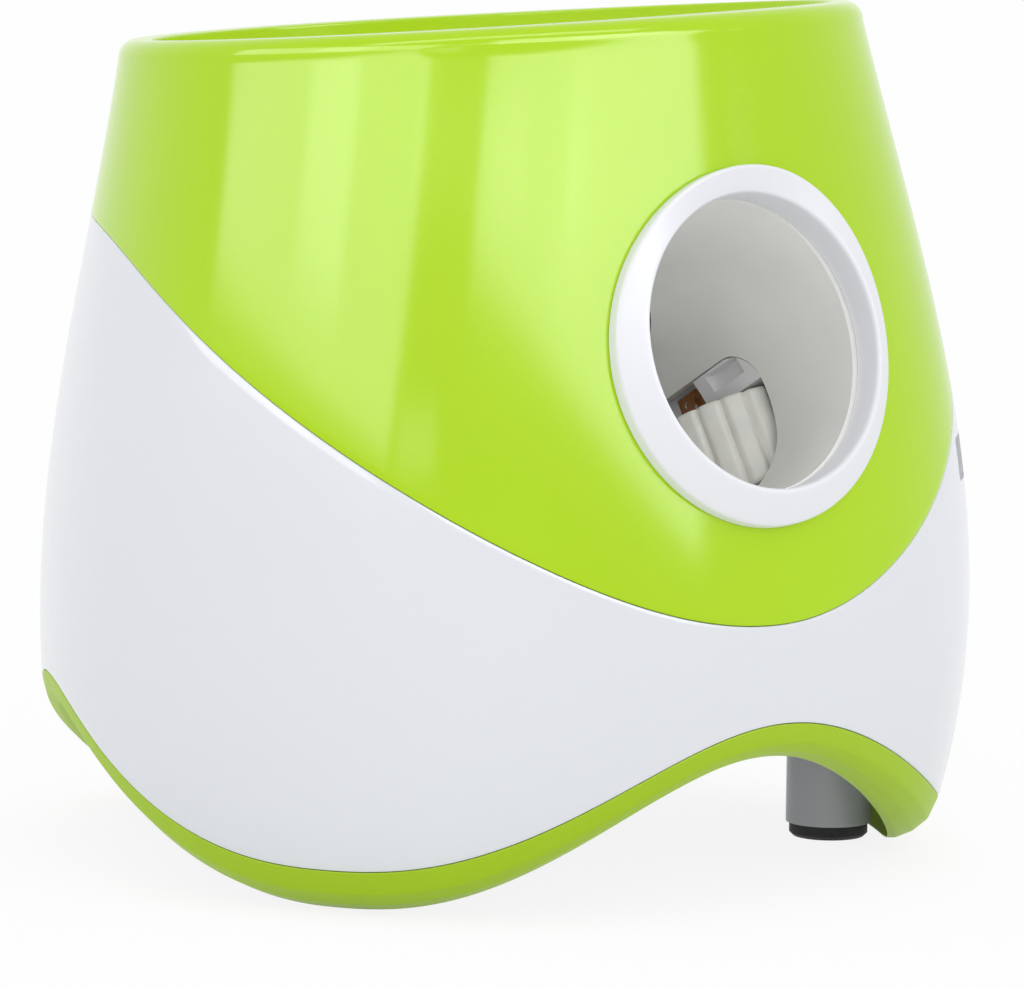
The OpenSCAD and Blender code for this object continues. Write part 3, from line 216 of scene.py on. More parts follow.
def seam_z(a):
    """Height of the seam between the green and the white shell."""
    back = SEAM_BACK_RISE * (1 - cos(a)) / 2
    sides = SEAM_SIDE_RISE * (1 - cos(2 * a)) / 2
    right = SEAM_RIGHT_RISE * max(0.0, sin(a)) ** 2
    return SEAM_FRONT_H + back + sides + right


def wall_lean(a, z):
    """Slope of the wall from upright, in degrees."""
    return math.degrees(math.atan((skin_r(a, z - 5) - skin_r(a, z + 5)) / 10))


def body_offset():
    """The footprint's middle is the origin, so the body's axis lies off it."""
    heights = range(40, 111, 2)
    front = max(skin_r(0, z) for z in heights)
    back = max(skin_r(180, z) for z in heights)
    return (front - back) / 2


BODY_Y = body_offset()
MOUTH_FRONT = skin_r(0, MOUTH_H)
TUBE_Y = -MOUTH_FRONT + (SLEEVE_LEN + FIT) * cos(MOUTH_TILT)
TUBE_Z = MOUTH_H - (SLEEVE_LEN + FIT) * sin(MOUTH_TILT)


def at(a, r, z):
    """Point at an angle, a radius and a height, in the body's frame."""
    return Vector((r * sin(a), -r * cos(a), z))


def tube_frame():
    """Y runs down the launch tube, Z points away from its floor."""
    return (
        Matrix.Translation((0, BODY_Y + TUBE_Y, TUBE_Z))
        @ Matrix.Rotation(math.radians(-TUBE_TILT), 4, "X")
    )


def wall_frame(a, z):
    """-Y points outwards from the wall, Z runs up it."""
    turn = Matrix.Rotation(math.radians(a), 4, "Z")
    lean = Matrix.Rotation(math.radians(-wall_lean(a, z)), 4, "X")
    return Matrix.Translation(at(a, skin_r(a, z), z) + Vector((0, BODY_Y, 0))) @ turn @ lean


# --------------------------------------------------------------------- mesh tools


def rounded_outline(corners, steps=4):
    """Closed outline through (x, y, radius) corners, each rounded by an arc.

    Every corner gives the same number of points, so outlines match step by step.
    """
    points = []
    n = len(corners)
    for i in range(n):
        x, y, radius = corners[i]
        here = Vector((x, y))
        before = Vector(corners[i - 1][:2]) - here
        after = Vector(corners[(i + 1) % n][:2]) - here
        if radius <= 0:
            points.append(here)
            continue
        half = before.angle(after) / 2
        reach = radius / max(math.tan(half), 1e-6)
        reach = min(reach, 0.45 * before.length, 0.45 * after.length)
        start = here + before.normalized() * reach
        end = here + after.normalized() * reach
        for k in range(steps + 1):
            t = k / steps
            points.append(start * (1 - t) ** 2 + here * 2 * t * (1 - t) + end * t * t)
    return points


def mesh_object(name, bm, sharp=32):
    """Object from a mesh in millimetres, smooth but for edges over the sharp angle."""
    bmesh.ops.remove_doubles(bm, verts=bm.verts, dist=0.001)
    bmesh.ops.recalc_face_normals(bm, faces=bm.faces)
    mesh = bpy.data.meshes.new(name)
    bm.to_mesh(mesh)
    bm.free()
    mesh.transform(Matrix.Scale(MM, 4))
    mesh.shade_smooth()
    mesh.set_sharp_from_angle(angle=math.radians(sharp))
    piece = bpy.data.objects.new(name, mesh)
    bpy.context.scene.collection.objects.link(piece)
    return piece


def ring_loft(bm, sections):
    """Skin through a closed ring of closed sections."""
    rows = [[bm.verts.new(p) for p in section] for section in sections]
    n = len(rows)
    m = len(rows[0])
    for i in range(n):
        for j in range(m):
            after = rows[(i + 1) % n]
            bm.faces.new((rows[i][j], rows[i][(j + 1) % m], after[(j + 1) % m], after[j]))


def body_ring(section):
    """Loft round the body: section(a) gives (radius, height) points at an angle."""
    bm = bmesh.new()
    sections = []
    for i in range(STEPS_ROUND):
        a = i * 360 / STEPS_ROUND
        sections.append([at(a, r, z) + Vector((0, BODY_Y, 0)) for r, z in section(a)])
    ring_loft(bm, sections)
    return bm


def climb(a, z0, z1, depth, steps):
    """Points up the wall between two heights, at a depth below the skin."""
    heights = [z0 + (z1 - z0) * i / steps for i in range(steps + 1)]
    return [(skin_r(a, z) - depth, z) for z in heights]


def add_rod(bm, radius, low, high, place, segments=48):
    """Closed round bar along Z, put in place."""
    made = bmesh.ops.create_cone(
        bm, cap_ends=True, segments=segments, radius1=radius, radius2=radius,
        depth=high - low, matrix=place @ Matrix.Translation((0, 0, (low + high) / 2)),
    )
    return made["verts"]


def add_plate(bm, width, length, corner, y0, y1, place):
    """Closed plate in the XZ plane with rounded corners, from y0 to y1."""
    corners = [
        (sx * width / 2, sz * length / 2, corner)
        for sx, sz in ((-1, -1), (1, -1), (1, 1), (-1, 1))
    ]
    outline = rounded_outline(corners, 8)
    sides = [[bm.verts.new(place @ Vector((p.x, y, p.y))) for p in outline] for y in (y0, y1)]
    n = len(outline)
    for j in range(n):
        k = (j + 1) % n
        bm.faces.new((sides[0][j], sides[0][k], sides[1][k], sides[1][j]))
    bm.faces.new(sides[0])
    bm.faces.new(list(reversed(sides[1])))


def cut(piece, fill):
    """Takes the closed shapes that fill() makes out of a piece."""
    bm = bmesh.new()
    fill(bm)
    cutter = mesh_object(piece.name + "_cutter", bm)
    modifier = piece.modifiers.new("Cut", "BOOLEAN")
    modifier.object = cutter
    modifier.operation = "DIFFERENCE"
    modifier.solver = "EXACT"
    depsgraph = bpy.context.evaluated_depsgraph_get()
    mesh = bpy.data.meshes.new_from_object(piece.evaluated_get(depsgraph))
    piece.modifiers.clear()
    piece.data = mesh
    mesh.set_sharp_from_angle(angle=math.radians(32))
    bpy.data.objects.remove(cutter)


def finish_piece(piece, node, body="housing"):
    """The piece stands for a node, and rides on its body."""
    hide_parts(node)
    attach(piece, body)
    piece.data.materials.clear()
    piece.data.materials.append(finish_of(node))
    return piece


# ------------------------------------------------------------------------- pieces


def upper_section(a):
    z_top = rim_z(a)
    z_bend = z_top - SHOULDER_R
    z_seam = seam_z(a)
    r_bend = skin_r(a, z_bend)
    r_lip = r_bend - LIP_W
    z_ledge = z_top - LEDGE_DEPTH
    z_under = z_ledge - WALL
    shoulder = [
        (r_bend - SHOULDER_R * (1 - cos(b)), z_bend + SHOULDER_R * sin(b))
        for b in range(9, 91, 9)
    ]
    inner = [
        (r_lip, z_top, 0.8),
        (r_lip, z_ledge, 0.3),
        (r_lip - LEDGE_W, z_ledge, EDGE),
        (r_lip - LEDGE_W, z_under, EDGE),
    ]
    tongue = [
        (skin_r(a, z_seam - LAP) - WALL, z_seam - LAP),
        (skin_r(a, z_seam - LAP) - WALL / 2 - FIT / 2, z_seam - LAP),
        (skin_r(a, z_seam) - WALL / 2 - FIT / 2, z_seam),
    ]
    return (
        [(skin_r(a, z_seam) - EDGE, z_seam), (skin_r(a, z_seam) - 0.1, z_seam + 0.1)]
        + climb(a, z_seam + EDGE, z_bend, 0, 56)
        + shoulder
        + open_corners([(r_bend - SHOULDER_R, z_top), *inner, (r_lip, z_under)])
        + climb(a, z_under, z_seam, WALL, 16)
        + tongue
    )


def open_corners(points):
    """Rounds the inner corners of an open line whose first and last points are bare."""
    corners = [(*points[0][:2], 0), *points[1:-1], (*points[-1][:2], 0)]
    rounded = rounded_outline(corners, 3)
    return [(p.x, p.y) for p in rounded[1:-1]]


def upper_shell():
    piece = mesh_object("upper_shell_skin", body_ring(upper_section))
    mouth = (
        Matrix.Translation((0, BODY_Y - MOUTH_FRONT, MOUTH_H))
        @ Matrix.Rotation(math.radians(90 - MOUTH_TILT), 4, "X")
    )
    hole_r = RING_BORE_R + SLEEVE_WALL + FIT
    reach = SLEEVE_LEN + 6
    cut(piece, lambda bm: add_rod(bm, hole_r, -reach, reach, mouth, 128))
    finish_piece(piece, "upper_shell")


def lower_section(a):
    z_low = trim_top_z(a) + SEAM_GAP
    z_top = seam_z(a) - SEAM_GAP
    z_groove = seam_z(a) - LAP - FIT
    groove = [
        (skin_r(a, z_top) - WALL / 2 + FIT / 2, z_top),
        (skin_r(a, z_groove) - WALL / 2 + FIT / 2, z_groove),
    ]
    tongue = [
        (skin_r(a, z_low - LAP) - WALL, z_low - LAP),
        (skin_r(a, z_low - LAP) - WALL / 2 - FIT / 2, z_low - LAP),
        (skin_r(a, z_low) - WALL / 2 - FIT / 2, z_low),
    ]
    return (
        [(skin_r(a, z_low) - EDGE, z_low), (skin_r(a, z_low) - 0.1, z_low + 0.1)]
        + climb(a, z_low + EDGE, z_top - EDGE, 0, 48)
        + [(skin_r(a, z_top) - 0.1, z_top - 0.1), (skin_r(a, z_top) - EDGE, z_top)]
        + groove
        + climb(a, z_groove, z_low, WALL, 14)
        + tongue
    )


def lower_shell():
    bm = body_ring(lower_section)
    for a in FOOT_ANGLES:
        foot = at(a, skin_r(a, PLATE_TOP) - BOSS_IN, 0) + Vector((0, BODY_Y, 0))
        add_rod(bm, BOSS_R, PLATE_TOP + FIT, BOSS_TOP, Matrix.Translation(foot))
    piece = mesh_object("lower_shell_skin", bm)
    for width, length, corner, depths, place in (
        (PANEL_W, PANEL_LEN, PANEL_CORNER, PANEL_CUT, wall_frame(180, PANEL_H)),
        (INLET_W, INLET_LEN, INLET_CORNER, INLET_CUT, wall_frame(INLET_ANGLE, INLET_H)),
    ):
        cut(piece, lambda bm: add_plate(
            bm, width + 2 * FIT, length + 2 * FIT, corner + FIT, *depths, place
        ))
    finish_piece(piece, "lower_shell")


def trim_section(a):
    z_low = trim_low_z(a)
    z_top = trim_top_z(a)
    h = z_top - z_low
    z_crease = z_low + 0.45 * h
    z_turn = z_low + 0.16 * h
    z_groove = z_top + SEAM_GAP - LAP - FIT
    z_in = z_groove - 0.8
    corners = [
        (skin_r(a, z_low) - TRIM_INSET - TRIM_EDGE, z_low, 0.5),
        (skin_r(a, z_low) - TRIM_INSET, z_low, 0.8),
        (skin_r(a, z_turn) - TRIM_INSET * 0.5, z_turn, 3.0),
        (skin_r(a, z_crease) - TRIM_INSET * 0.12, z_crease, 4.0),
        (skin_r(a, z_top), z_top, 0.4),
        (skin_r(a, z_top) - WALL / 2 + FIT / 2, z_top, 0),
        (skin_r(a, z_groove) - WALL / 2 + FIT / 2, z_groove, 0),
        (skin_r(a, z_in) - WALL - 1.5, z_in, 0.4),
    ]
    return [(p.x, p.y) for p in rounded_outline(corners, 5)]


def base_trim():
    piece = mesh_object("base_trim_skin", body_ring(trim_section), 40)
    finish_piece(piece, "base_trim")


def bowl_pt(a, w, r_rim, z_rim, t):
    """Point of the bowl at a turn of 0 (rim) to 90 (throat), t outside its inner face."""
    k = cos(w)
    up = 1 - 0.72 * sin(w) - 0.28 * (1 - cos(w))
    r = THROAT_R + (r_rim - THROAT_R) * k + t * cos(w * 0.85)
    z = THROAT_TOP_H + (z_rim - THROAT_TOP_H) * up - t * sin(w * 0.85)
    return at(a, r, z) - Vector((0, THROAT_FRONT * (1 - k), 0))


def bowl_section(a):
    z_top = rim_z(a)
    r_lip = skin_r(a, z_top - SHOULDER_R) - LIP_W
    r_rim = r_lip - LEDGE_W - FIT - BOWL_WALL
    z_flange = z_top - LEDGE_DEPTH
    z_rim = z_flange - 1
    middle = Vector((0, -THROAT_FRONT, 0))
    turns = [3 * i for i in range(31)]
    rim = [
        (r_rim + BOWL_WALL, z_flange),
        (r_lip - FIT, z_flange, 0.2),
        (r_lip - FIT, z_flange + FLANGE_T, 0.6),
        (r_rim, z_flange + FLANGE_T, 2.2),
        (r_rim - 0.2, z_rim - 1.5),
    ]
    return (
        [at(a, THROAT_R + BOWL_WALL, THROAT_END_H) + middle]
        + [bowl_pt(a, w, r_rim, z_rim, BOWL_WALL) for w in reversed(turns[1:])]
        + [at(a, rim[0][0], rim[0][1])]
        + [at(a, r, z) for r, z in open_corners(rim)]
        + [bowl_pt(a, w, r_rim, z_rim, 0) for w in turns[2:]]
        + [at(a, THROAT_R, THROAT_END_H) + middle]
    )


def hopper_bowl():
    bm = bmesh.new()
    shift = Vector((0, BODY_Y, 0))
    angles = [i * 2 for i in range(STEPS_ROUND // 2)]
    ring_loft(bm, [[p + shift for p in bowl_section(a)] for a in angles])
    finish_piece(mesh_object("hopper_bowl_skin", bm), "hopper_bowl")


def ring_pt(b, r, w, drop=0.0):
    """Point of the mouth ring: angle round it, radius, height above its plane.

    The drop is how far its circle lies below the middle of the mouth.
    """
    v = r * sin(b) - drop
    return Vector((
        r * cos(b),
        -MOUTH_FRONT - w * cos(MOUTH_TILT) + v * sin(MOUTH_TILT),
        MOUTH_H + v * cos(MOUTH_TILT) + w * sin(MOUTH_TILT),
    ))


def ring_seat(b, r, drop):
    """Height above the ring's plane at which it meets the wall."""
    w = 0.0
    for _ in range(6):
        p = ring_pt(b, r, w, drop)
        w -= math.hypot(p.x, p.y) - skin_r(math.degrees(math.atan2(p.x, -p.y)), p.z)
    return w


def ring_section(b):
    seat = ring_seat(b, RING_R, RING_DROP) + SEAM_GAP
    seat_in = ring_seat(b, RING_BORE_R + SLEEVE_WALL, 0) + SEAM_GAP
    corners = [
        (RING_R, seat, 0.2),
        (RING_R, seat + RING_EDGE + 0.5, 1.6),
        (RING_BORE_R, RING_PROUD, 1.4),
        (RING_BORE_R, -SLEEVE_LEN, 0.3),
        (RING_BORE_R + SLEEVE_WALL, -SLEEVE_LEN, 0.3),
        (RING_BORE_R + SLEEVE_WALL, seat_in, 0),
    ]
    shift = Vector((0, BODY_Y, 0))
    span = RING_R - RING_BORE_R
    outline = rounded_outline(corners, 6)
    section = []
    for p in outline:
        on_collar = p.x > RING_BORE_R + SLEEVE_WALL + SEAM_GAP or p.y > seat_in
        share = max(0.0, (p.x - RING_BORE_R) / span) if on_collar else 0.0
        section.append(ring_pt(b, p.x, p.y, RING_DROP * share) + shift)
    return section


def mouth_ring():
    bm = bmesh.new()
    ring_loft(bm, [ring_section(b * 1.5) for b in range(240)])
    finish_piece(mesh_object("mouth_ring_skin", bm), "mouth_ring")


def flywheel_tread(side, name, body):
    """Moulded tread: rounded ribs along the wheel, drawn in at both faces."""
    bm = bmesh.new()
    low = WHEEL_TOP_U - WHEEL_W
    place = tube_frame() @ Matrix.Translation((side * WHEEL_X, WHEEL_S, low))
    steps = RIBS * RIB_STEPS
    inner = WHEEL_R - TREAD_T + 0.03

    def rib_r(a, z):
        phase = (a * RIBS / 360) % 1.0
        off = abs(phase - 0.5) * 2
        crest = 1 - max(0.0, (off - CREST_SHARE) / (1 - CREST_SHARE)) ** 1.6
        end = min(z, WHEEL_W - z)
        softened = 0.7 * max(0.0, 1 - end / TREAD_END_R) ** 2
        return WHEEL_R - GROOVE_DEPTH * (1 - crest) - softened

    def strip(first, second):
        """Faces between two rings: each gives its radius and height at an angle."""
        for i in range(steps):
            a0 = i * 360 / steps
            a1 = (i + 1) * 360 / steps
            bm.faces.new([
                bm.verts.new(place @ Vector((r * cos(a), r * sin(a), z)))
                for a, (r, z) in (
                    (a0, first(a0)), (a1, first(a1)), (a1, second(a1)), (a0, second(a0)),
                )
            ])

    ends = [0, 0.3, 0.8, TREAD_END_R, 4]
    levels = ends + [WHEEL_W / 2] + [WHEEL_W - z for z in reversed(ends)]
    for z0, z1 in zip(levels, levels[1:]):
        strip(lambda a: (rib_r(a, z0), z0), lambda a: (rib_r(a, z1), z1))
    for z in (0, WHEEL_W):
        strip(lambda a: (rib_r(a, z), z), lambda a: (inner, z))
    strip(lambda a: (inner, 0), lambda a: (inner, WHEEL_W))
    finish_piece(mesh_object(name, bm, 50), f"flywheel_tread_{name.split('_')[1]}", body)


# ---------------------------------------------------------------------- materials


class Shader:
    """A material's node tree with one Principled shader, and short calls to fill it."""

    def __init__(self, name):
        self.material = bpy.data.materials.new(name)
        self.material.use_nodes = True
        self.tree = self.material.node_tree
        self.bsdf = self.tree.nodes["Principled BSDF"]
        self.place = self.node("ShaderNodeTexCoord").outputs["Object"]

    def node(self, kind, **settings):
        made = self.tree.nodes.new(kind)
        for name, value in settings.items():
            setattr(made, name, value)
        return made

    def link(self, source, target):
        self.tree.links.new(source, target)

    def constants(self, **values):
        for name, value in values.items():
            self.bsdf.inputs[name.replace("_", " ")].default_value = value

    def noise(self, scale, detail=2.0, stretch=(1, 1, 1)):
        """Noise by place on the piece: scale counts cells for each metre."""
        mapping = self.node("ShaderNodeMapping")
        mapping.inputs["Scale"].default_value = stretch
        self.link(self.place, mapping.inputs["Vector"])
        made = self.node("ShaderNodeTexNoise")
        made.inputs["Scale"].default_value = scale
        made.inputs["Detail"].default_value = detail
        self.link(mapping.outputs["Vector"], made.inputs["Vector"])
        return made.outputs["Fac"]

    def ramp(self, source, low, high, at_low=0.3, at_high=0.7):
        made = self.node("ShaderNodeValToRGB")
        made.color_ramp.elements[0].position = at_low
        made.color_ramp.elements[0].color = low
        made.color_ramp.elements[1].position = at_high
        made.color_ramp.elements[1].color = high
        self.link(source, made.inputs["Fac"])
        return made.outputs["Color"]

    def span(self, source, low, high):
        made = self.node("ShaderNodeMapRange")
        made.inputs["To Min"].default_value = low
        made.inputs["To Max"].default_value = high
        self.link(source, made.inputs["Value"])
        return made.outputs["Result"]

    def mix(self, share, first, second):
        made = self.node("ShaderNodeMix", data_type="RGBA")
        for value, target in ((share, 0), (first, 6), (second, 7)):
            if isinstance(value, (tuple, float)):
                made.inputs[target].default_value = value
            else:
                self.link(value, made.inputs[target])
        return made.outputs[2]

    def bump(self, height, strength, depth_mm, below=None):
        made = self.node("ShaderNodeBump")
        made.inputs["Strength"].default_value = strength
        made.inputs["Distance"].default_value = depth_mm * MM
        self.link(height, made.inputs["Height"])
        if below is not None:
            self.link(below, made.inputs["Normal"])
        self.link(made.outputs["Normal"], self.bsdf.inputs["Normal"])
        return made.outputs["Normal"]

    def color(self, source):
        self.link(source, self.bsdf.inputs["Base Color"])

    def roughness(self, source):
        self.link(source, self.bsdf.inputs["Roughness"])


def shade(color, factor):
    return tuple(min(1.0, c * factor) for c in color[:3]) + (1.0,)


def gloss_plastic(name, color, rough=0.12, tone=0.03):
    """Polished moulding: a faint flow ripple, fine dust and hairline rubbing."""
    s = Shader(name)
    flow = s.noise(9, 3)
    s.color(s.ramp(flow, shade(color, 1 - tone), shade(color, 1 + tone)))
    dust = s.noise(900, 4)
    s.roughness(s.span(dust, rough * 0.8, rough * 1.35))
    ripple = s.bump(s.noise(85, 2), 0.05, 0.05)
    s.bump(s.noise(2400, 2, (1, 1, 0.15)), 0.03, 0.01, ripple)
    s.constants(IOR=1.40)
    return s.material


def satin_plastic(name, color, rough=0.34, grain=1100, depth=0.03, tone=0.04):
    """Moulding with a fine spark-eroded grain and a slightly uneven tone."""
    s = Shader(name)
    s.color(s.ramp(s.noise(14, 4), shade(color, 1 - tone), shade(color, 1 + tone)))
    s.roughness(s.span(s.noise(260, 3), rough * 0.85, rough * 1.2))
    s.bump(s.noise(grain, 3), 0.35, depth)
    s.constants(IOR=1.46)
    return s.material


def rubber(name, color, rough=0.6, depth=0.05):
    """Soft moulding: a chalky bloom over a pebbled skin."""
    s = Shader(name)
    bloom = s.noise(60, 5)
    s.color(s.ramp(bloom, shade(color, 0.92), shade(color, 1.08)))
    s.roughness(s.span(s.noise(500, 3), rough * 0.85, rough * 1.2))
    s.bump(s.noise(1800, 4), 0.5, depth)
    s.constants(Sheen_Weight=0.15, Sheen_Roughness=0.5, IOR=1.5)
    return s.material


def brushed_metal(name, color, rough=0.28, along=(0.05, 1, 1)):
    """Turned or drawn metal: fine lines across one axis."""
    s = Shader(name)
    lines = s.noise(3200, 3, along)
    s.color(s.ramp(lines, shade(color, 0.82), shade(color, 1.1)))
    s.roughness(s.span(lines, rough * 0.7, rough * 1.4))
    s.bump(lines, 0.3, 0.01)
    s.constants(Metallic=1.0)
    return s.material


def circuit_board(name, color):
    """Solder mask over copper tracks, with tinned pads."""
    s = Shader(name)
    tracks = s.node("ShaderNodeTexBrick", offset=0.37, squash=1.0)
    tracks.inputs["Scale"].default_value = 260
    tracks.inputs["Mortar Size"].default_value = 0.09
    tracks.inputs["Color1"].default_value = shade(color, 0.9)
    tracks.inputs["Color2"].default_value = shade(color, 1.05)
    tracks.inputs["Mortar"].default_value = shade(color, 1.9)
    s.link(s.place, tracks.inputs["Vector"])
    pads = s.node("ShaderNodeTexVoronoi")
    pads.inputs["Scale"].default_value = 190
    s.link(s.place, pads.inputs["Vector"])
    on_pad = s.ramp(pads.outputs["Distance"], (1, 1, 1, 1), (0, 0, 0, 1), 0.16, 0.2)
    s.color(s.mix(on_pad, tracks.outputs["Color"], (0.72, 0.72, 0.70, 1)))
    s.link(on_pad, s.bsdf.inputs["Metallic"])
    s.bump(tracks.outputs["Fac"], 0.3, 0.03)
    s.constants(Roughness=0.35)
    return s.material


def cell_wrap(name, color):
    """Metallic printed sleeve of a dry cell, plain bands without any lettering."""
    s = Shader(name)
    split = s.node("ShaderNodeSeparateXYZ")
    s.link(s.place, split.inputs["Vector"])
    across = s.node("ShaderNodeMath", operation="ABSOLUTE")
    s.link(split.outputs["X"], across.inputs[0])
    band = s.ramp(across.outputs["Value"], shade(color, 1.0), (0.02, 0.02, 0.022, 1), 0.0, 1.0)
    stops = band.node.color_ramp
    stops.interpolation = "CONSTANT"
    stops.elements[1].position = 0.036
    s.color(band)
    s.roughness(s.span(s.noise(700, 3), 0.22, 0.4))
    s.constants(Metallic=0.8)
    return s.material


def clear_lens(name, color):
    """Tinted indicator window with a pebbled back."""
    s = Shader(name)
    cells = s.noise(1500, 2)
    s.color(s.ramp(cells, shade(color, 0.85), shade(color, 1.1)))
    s.bump(cells, 0.2, 0.05)
    s.constants(Roughness=0.12, Transmission_Weight=0.35, IOR=1.5, Coat_Weight=0.6)
    return s.material


GREEN = (0.432, 0.692, 0.003)
TRIM_GREEN = (0.365, 0.560, 0.002)
WHITE = (0.760, 0.770, 0.800)

# Finish of each material slot
FINISHES = {
    "shell_green": lambda n: gloss_plastic(n, GREEN),
    "trim_green": lambda n: gloss_plastic(n, TRIM_GREEN, rough=0.42),
    "shell_white": lambda n: gloss_plastic(n, WHITE, rough=0.16, tone=0.01),
    "ring_white": lambda n: gloss_plastic(n, (0.82, 0.82, 0.85), rough=0.42, tone=0.01),
    "bowl_white": lambda n: satin_plastic(n, (0.78, 0.79, 0.80), rough=0.26),
    "tube_grey": lambda n: satin_plastic(n, (0.86, 0.86, 0.82), rough=0.42, tone=0.08),
    "base_white": lambda n: satin_plastic(n, (0.70, 0.71, 0.73)),
    "pad_rubber": lambda n: rubber(n, (0.02, 0.02, 0.022), rough=0.7),
    "frame_grey": lambda n: satin_plastic(n, (0.34, 0.34, 0.34)),
    "bracket_grey": lambda n: satin_plastic(n, (0.86, 0.86, 0.87)),
    "hub_plastic": lambda n: satin_plastic(n, (0.48, 0.48, 0.48)),
    "tread_rubber": lambda n: rubber(n, (0.82, 0.81, 0.76)),
    "motor_steel": lambda n: brushed_metal(n, (0.52, 0.53, 0.55)),
    "star_plastic": lambda n: satin_plastic(n, (0.72, 0.72, 0.70)),
    "gear_plastic": lambda n: satin_plastic(n, (0.78, 0.78, 0.72)),
    "pinion_brass": lambda n: brushed_metal(n, (0.72, 0.50, 0.20)),
    "box_white": lambda n: satin_plastic(n, (0.66, 0.67, 0.69)),
    "cell_wrap": lambda n: cell_wrap(n, (0.62, 0.36, 0.10)),
    "spring_steel": lambda n: brushed_metal(n, (0.66, 0.67, 0.70), rough=0.2),
    "board_green": lambda n: circuit_board(n, (0.012, 0.12, 0.035)),
    "board_brown": lambda n: circuit_board(n, (0.16, 0.055, 0.012)),
    "panel_grey": lambda n: satin_plastic(n, (0.50, 0.51, 0.52), rough=0.3, depth=0.04),
    "button_dark": lambda n: rubber(n, (0.025, 0.025, 0.028)),
    "button_green": lambda n: rubber(n, (0.34, 0.58, 0.02)),
    "lens_amber": lambda n: clear_lens(n, (0.80, 0.14, 0.02)),
    "inlet_black": lambda n: satin_plastic(n, (0.012, 0.012, 0.013), depth=0.05),
    "socket_dark": lambda n: satin_plastic(n, (0.02, 0.02, 0.02), rough=0.3),
    "screw_steel": lambda n: brushed_metal(n, (0.62, 0.63, 0.66), rough=0.22),
    "shaft_steel": lambda n: brushed_metal(n, (0.70, 0.71, 0.73), rough=0.15),
}

slot_of = {part["node"]: part["material_slot"] for part in frame["record"]["subparts"]}
made_finishes = {}


def finish_of(node):
    slot = slot_of[node]
    if slot not in made_finishes:
        made_finishes[slot] = FINISHES[slot](slot + "_finish")
    return made_finishes[slot]


def dress_nodes():
    """Every node that keeps its construction gets its slot's finish."""
    for name, node in frame["nodes"].items():
        for material_slot in node.material_slots:
            material_slot.material = finish_of(name)


# --------------------------------------------------------------- camera and studio

# Metres: the lamps' distance and the point that they face
LAMP_AWAY = 3.0
LAMP_AIM = Vector((0, 0, 0.12))
# The room's own light on matt surfaces, and how far the floor is seen as backdrop
ROOM_LEVEL = 1.00
FLOOR_SHARE = 0.87


def make_camera():
    a = math.radians(CAMERA_ANGLE)
    forward = Vector((-math.sin(a), math.cos(a), 0))
    right = Vector((math.cos(a), math.sin(a), 0))
    up = Vector((0, 0, 1))
    yaw = Matrix.Rotation(math.radians(CAMERA_YAW), 3, up)
    forward, right = yaw @ forward, yaw @ right
    pitch = Matrix.Rotation(math.radians(CAMERA_PITCH), 3, right)
    forward, up = pitch @ forward, pitch @ up
    roll = Matrix.Rotation(math.radians(CAMERA_ROLL), 3, forward)
    right, up = roll @ right, roll @ up
    data = bpy.data.cameras.new("camera")
    data.lens = CAMERA_LENS
    data.sensor_width = 36
    data.sensor_fit = "HORIZONTAL"
    data.clip_end = 100
    camera = bpy.data.objects.new("camera", data)
    place = Matrix((right, up, -forward)).transposed().to_4x4()
    place.translation = (at(CAMERA_ANGLE, CAMERA_AWAY, CAMERA_H) + Vector((0, BODY_Y, 0))) * MM
    camera.matrix_world = place
    bpy.context.scene.collection.objects.link(camera)
    bpy.context.scene.camera = camera


def softbox(name, angle, lift, wide, tall, radiance, roll=0.0, diffuse=True, glossy=True):
    """Rectangular lamp seen from the object in a given direction; sizes are degrees."""
    data = bpy.data.lights.new(name, "AREA")
    data.shape = "RECTANGLE"
    data.size = 2 * LAMP_AWAY * math.tan(math.radians(wide / 2))
    data.size_y = 2 * LAMP_AWAY * math.tan(math.radians(tall / 2))
    data.energy = radiance * math.pi * data.size * data.size_y
    lamp = bpy.data.objects.new(name, data)
    towards = Vector((sin(angle) * cos(lift), -cos(angle) * cos(lift), sin(lift)))
    lamp.location = LAMP_AIM + towards * LAMP_AWAY
    lamp.rotation_mode = "QUATERNION"
    turn = (-towards).to_track_quat("-Z", "Y").to_matrix() @ Matrix.Rotation(
        math.radians(roll), 3, "Z"
    )
    lamp.rotation_quaternion = turn.to_quaternion()
    lamp.visible_camera = False
    lamp.visible_diffuse = diffuse
    lamp.visible_glossy = glossy
    bpy.context.scene.collection.objects.link(lamp)


def seen_directly(tree):
    """1 for a ray from the camera, a reflection or a clear piece, and 0 for diffuse light."""
    path = tree.nodes.new("ShaderNodeLightPath")
    share = path.outputs["Is Camera Ray"]
    for kind in ("Is Glossy Ray", "Is Transmission Ray"):
        either = tree.nodes.new("ShaderNodeMath")
        either.operation = "MAXIMUM"
        tree.links.new(share, either.inputs[0])
        tree.links.new(path.outputs[kind], either.inputs[1])
        share = either.outputs["Value"]
    return share


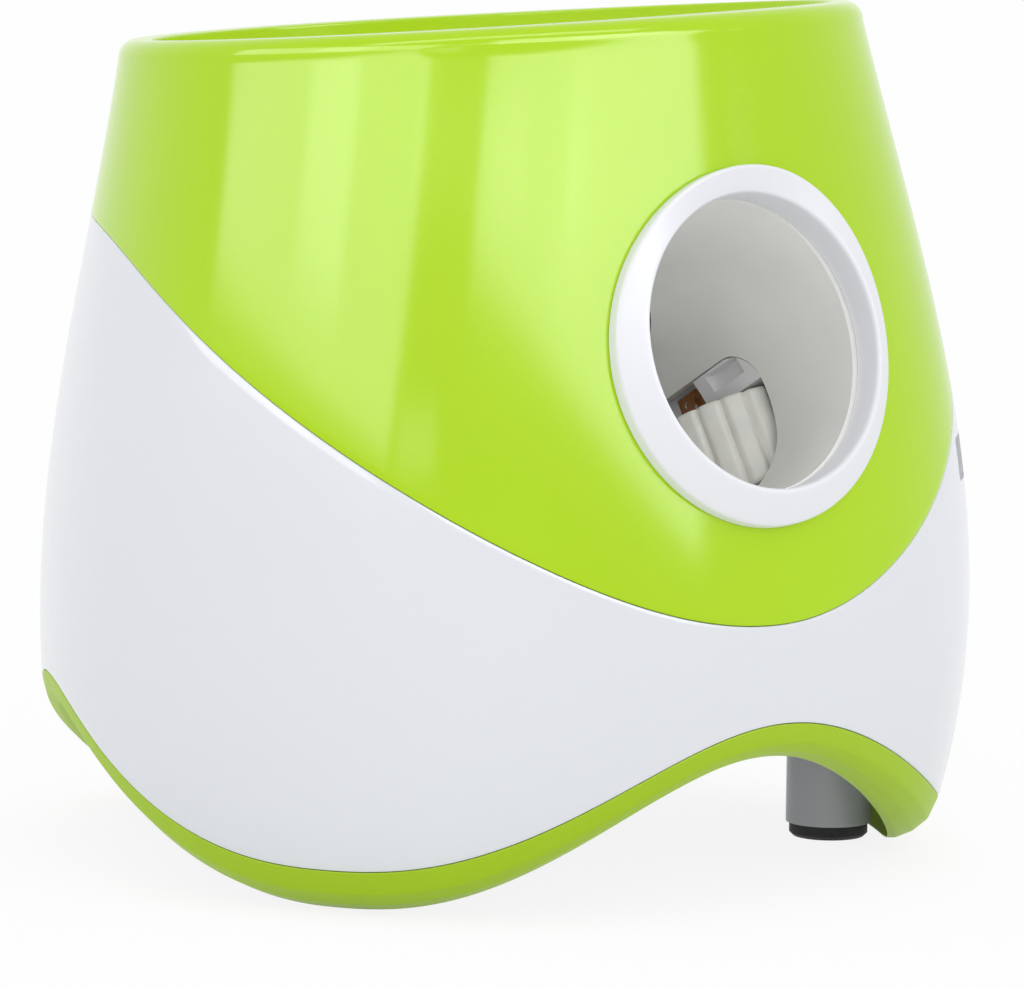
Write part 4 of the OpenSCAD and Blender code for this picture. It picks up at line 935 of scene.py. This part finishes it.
def make_floor():
    bm = bmesh.new()
    bmesh.ops.create_grid(bm, x_segments=8, y_segments=8, size=30000)
    floor = mesh_object("floor", bm)
    material = bpy.data.materials.new("pale_floor")
    material.use_nodes = True
    tree = material.node_tree
    tree.nodes.clear()
    output = tree.nodes.new("ShaderNodeOutputMaterial")
    paint = tree.nodes.new("ShaderNodeBsdfDiffuse")
    paint.inputs["Color"].default_value = (0.93, 0.93, 0.93, 1)
    glow = tree.nodes.new("ShaderNodeEmission")
    glow.inputs["Color"].default_value = (1, 1, 1, 1)
    glow.inputs["Strength"].default_value = 1.0
    share = tree.nodes.new("ShaderNodeMath")
    share.operation = "MULTIPLY"
    share.inputs[1].default_value = FLOOR_SHARE
    blend = tree.nodes.new("ShaderNodeMixShader")
    tree.links.new(seen_directly(tree), share.inputs[0])
    tree.links.new(share.outputs["Value"], blend.inputs["Fac"])
    tree.links.new(paint.outputs["BSDF"], blend.inputs[1])
    tree.links.new(glow.outputs["Emission"], blend.inputs[2])
    tree.links.new(blend.outputs["Shader"], output.inputs["Surface"])
    floor.data.materials.append(material)


def make_world():
    """Even grey room light; seen directly or in a reflection it is the white backdrop."""
    world = bpy.data.worlds.new("studio")
    bpy.context.scene.world = world
    world.use_nodes = True
    tree = world.node_tree
    tree.nodes.clear()
    output = tree.nodes.new("ShaderNodeOutputWorld")
    room = tree.nodes.new("ShaderNodeBackground")
    room.inputs["Color"].default_value = (0.97, 0.98, 1.0, 1)
    room.inputs["Strength"].default_value = ROOM_LEVEL
    backdrop = tree.nodes.new("ShaderNodeBackground")
    backdrop.inputs["Color"].default_value = (1, 1, 1, 1)
    backdrop.inputs["Strength"].default_value = 1.0
    blend = tree.nodes.new("ShaderNodeMixShader")
    tree.links.new(seen_directly(tree), blend.inputs["Fac"])
    tree.links.new(room.outputs["Background"], blend.inputs[1])
    tree.links.new(backdrop.outputs["Background"], blend.inputs[2])
    tree.links.new(blend.outputs["Shader"], output.inputs["Surface"])


def make_studio():
    make_floor()
    make_world()
    softbox("band_left", -95, 29, 74, 27, 4.6, diffuse=False)
    softbox("band_left_core", -90, 30, 18, 20, 2.8, diffuse=False)
    softbox("band_front", 3, 25, 62, 24, 6.2, roll=-22, diffuse=False)
    softbox("band_front_core", 12, 27, 28, 16, 3.4, diffuse=False)
    softbox("band_top", -30, 66, 70, 12, 5.0, diffuse=False)
    softbox("streak", -37, 26.4, 36, 1.3, 9.0, roll=-5, diffuse=False)
    softbox("glint", 44, 12.75, 6, 0.8, 14.0, roll=11, diffuse=False)
    softbox("pane", -48, 13.5, 12, 4.5, 2.4, diffuse=False)
    softbox("fill", -25, 26, 44, 30, 0.60, glossy=False)
    bpy.context.scene.view_settings.view_transform = "Standard"


# ----------------------------------------------------------------------- assembly

dress_nodes()
upper_shell()
lower_shell()
base_trim()
hopper_bowl()
mouth_ring()
flywheel_tread(1, "tread_right", "right_flywheel")
flywheel_tread(-1, "tread_left", "left_flywheel")
make_camera()
make_studio()

bpy.context.view_layer.update()
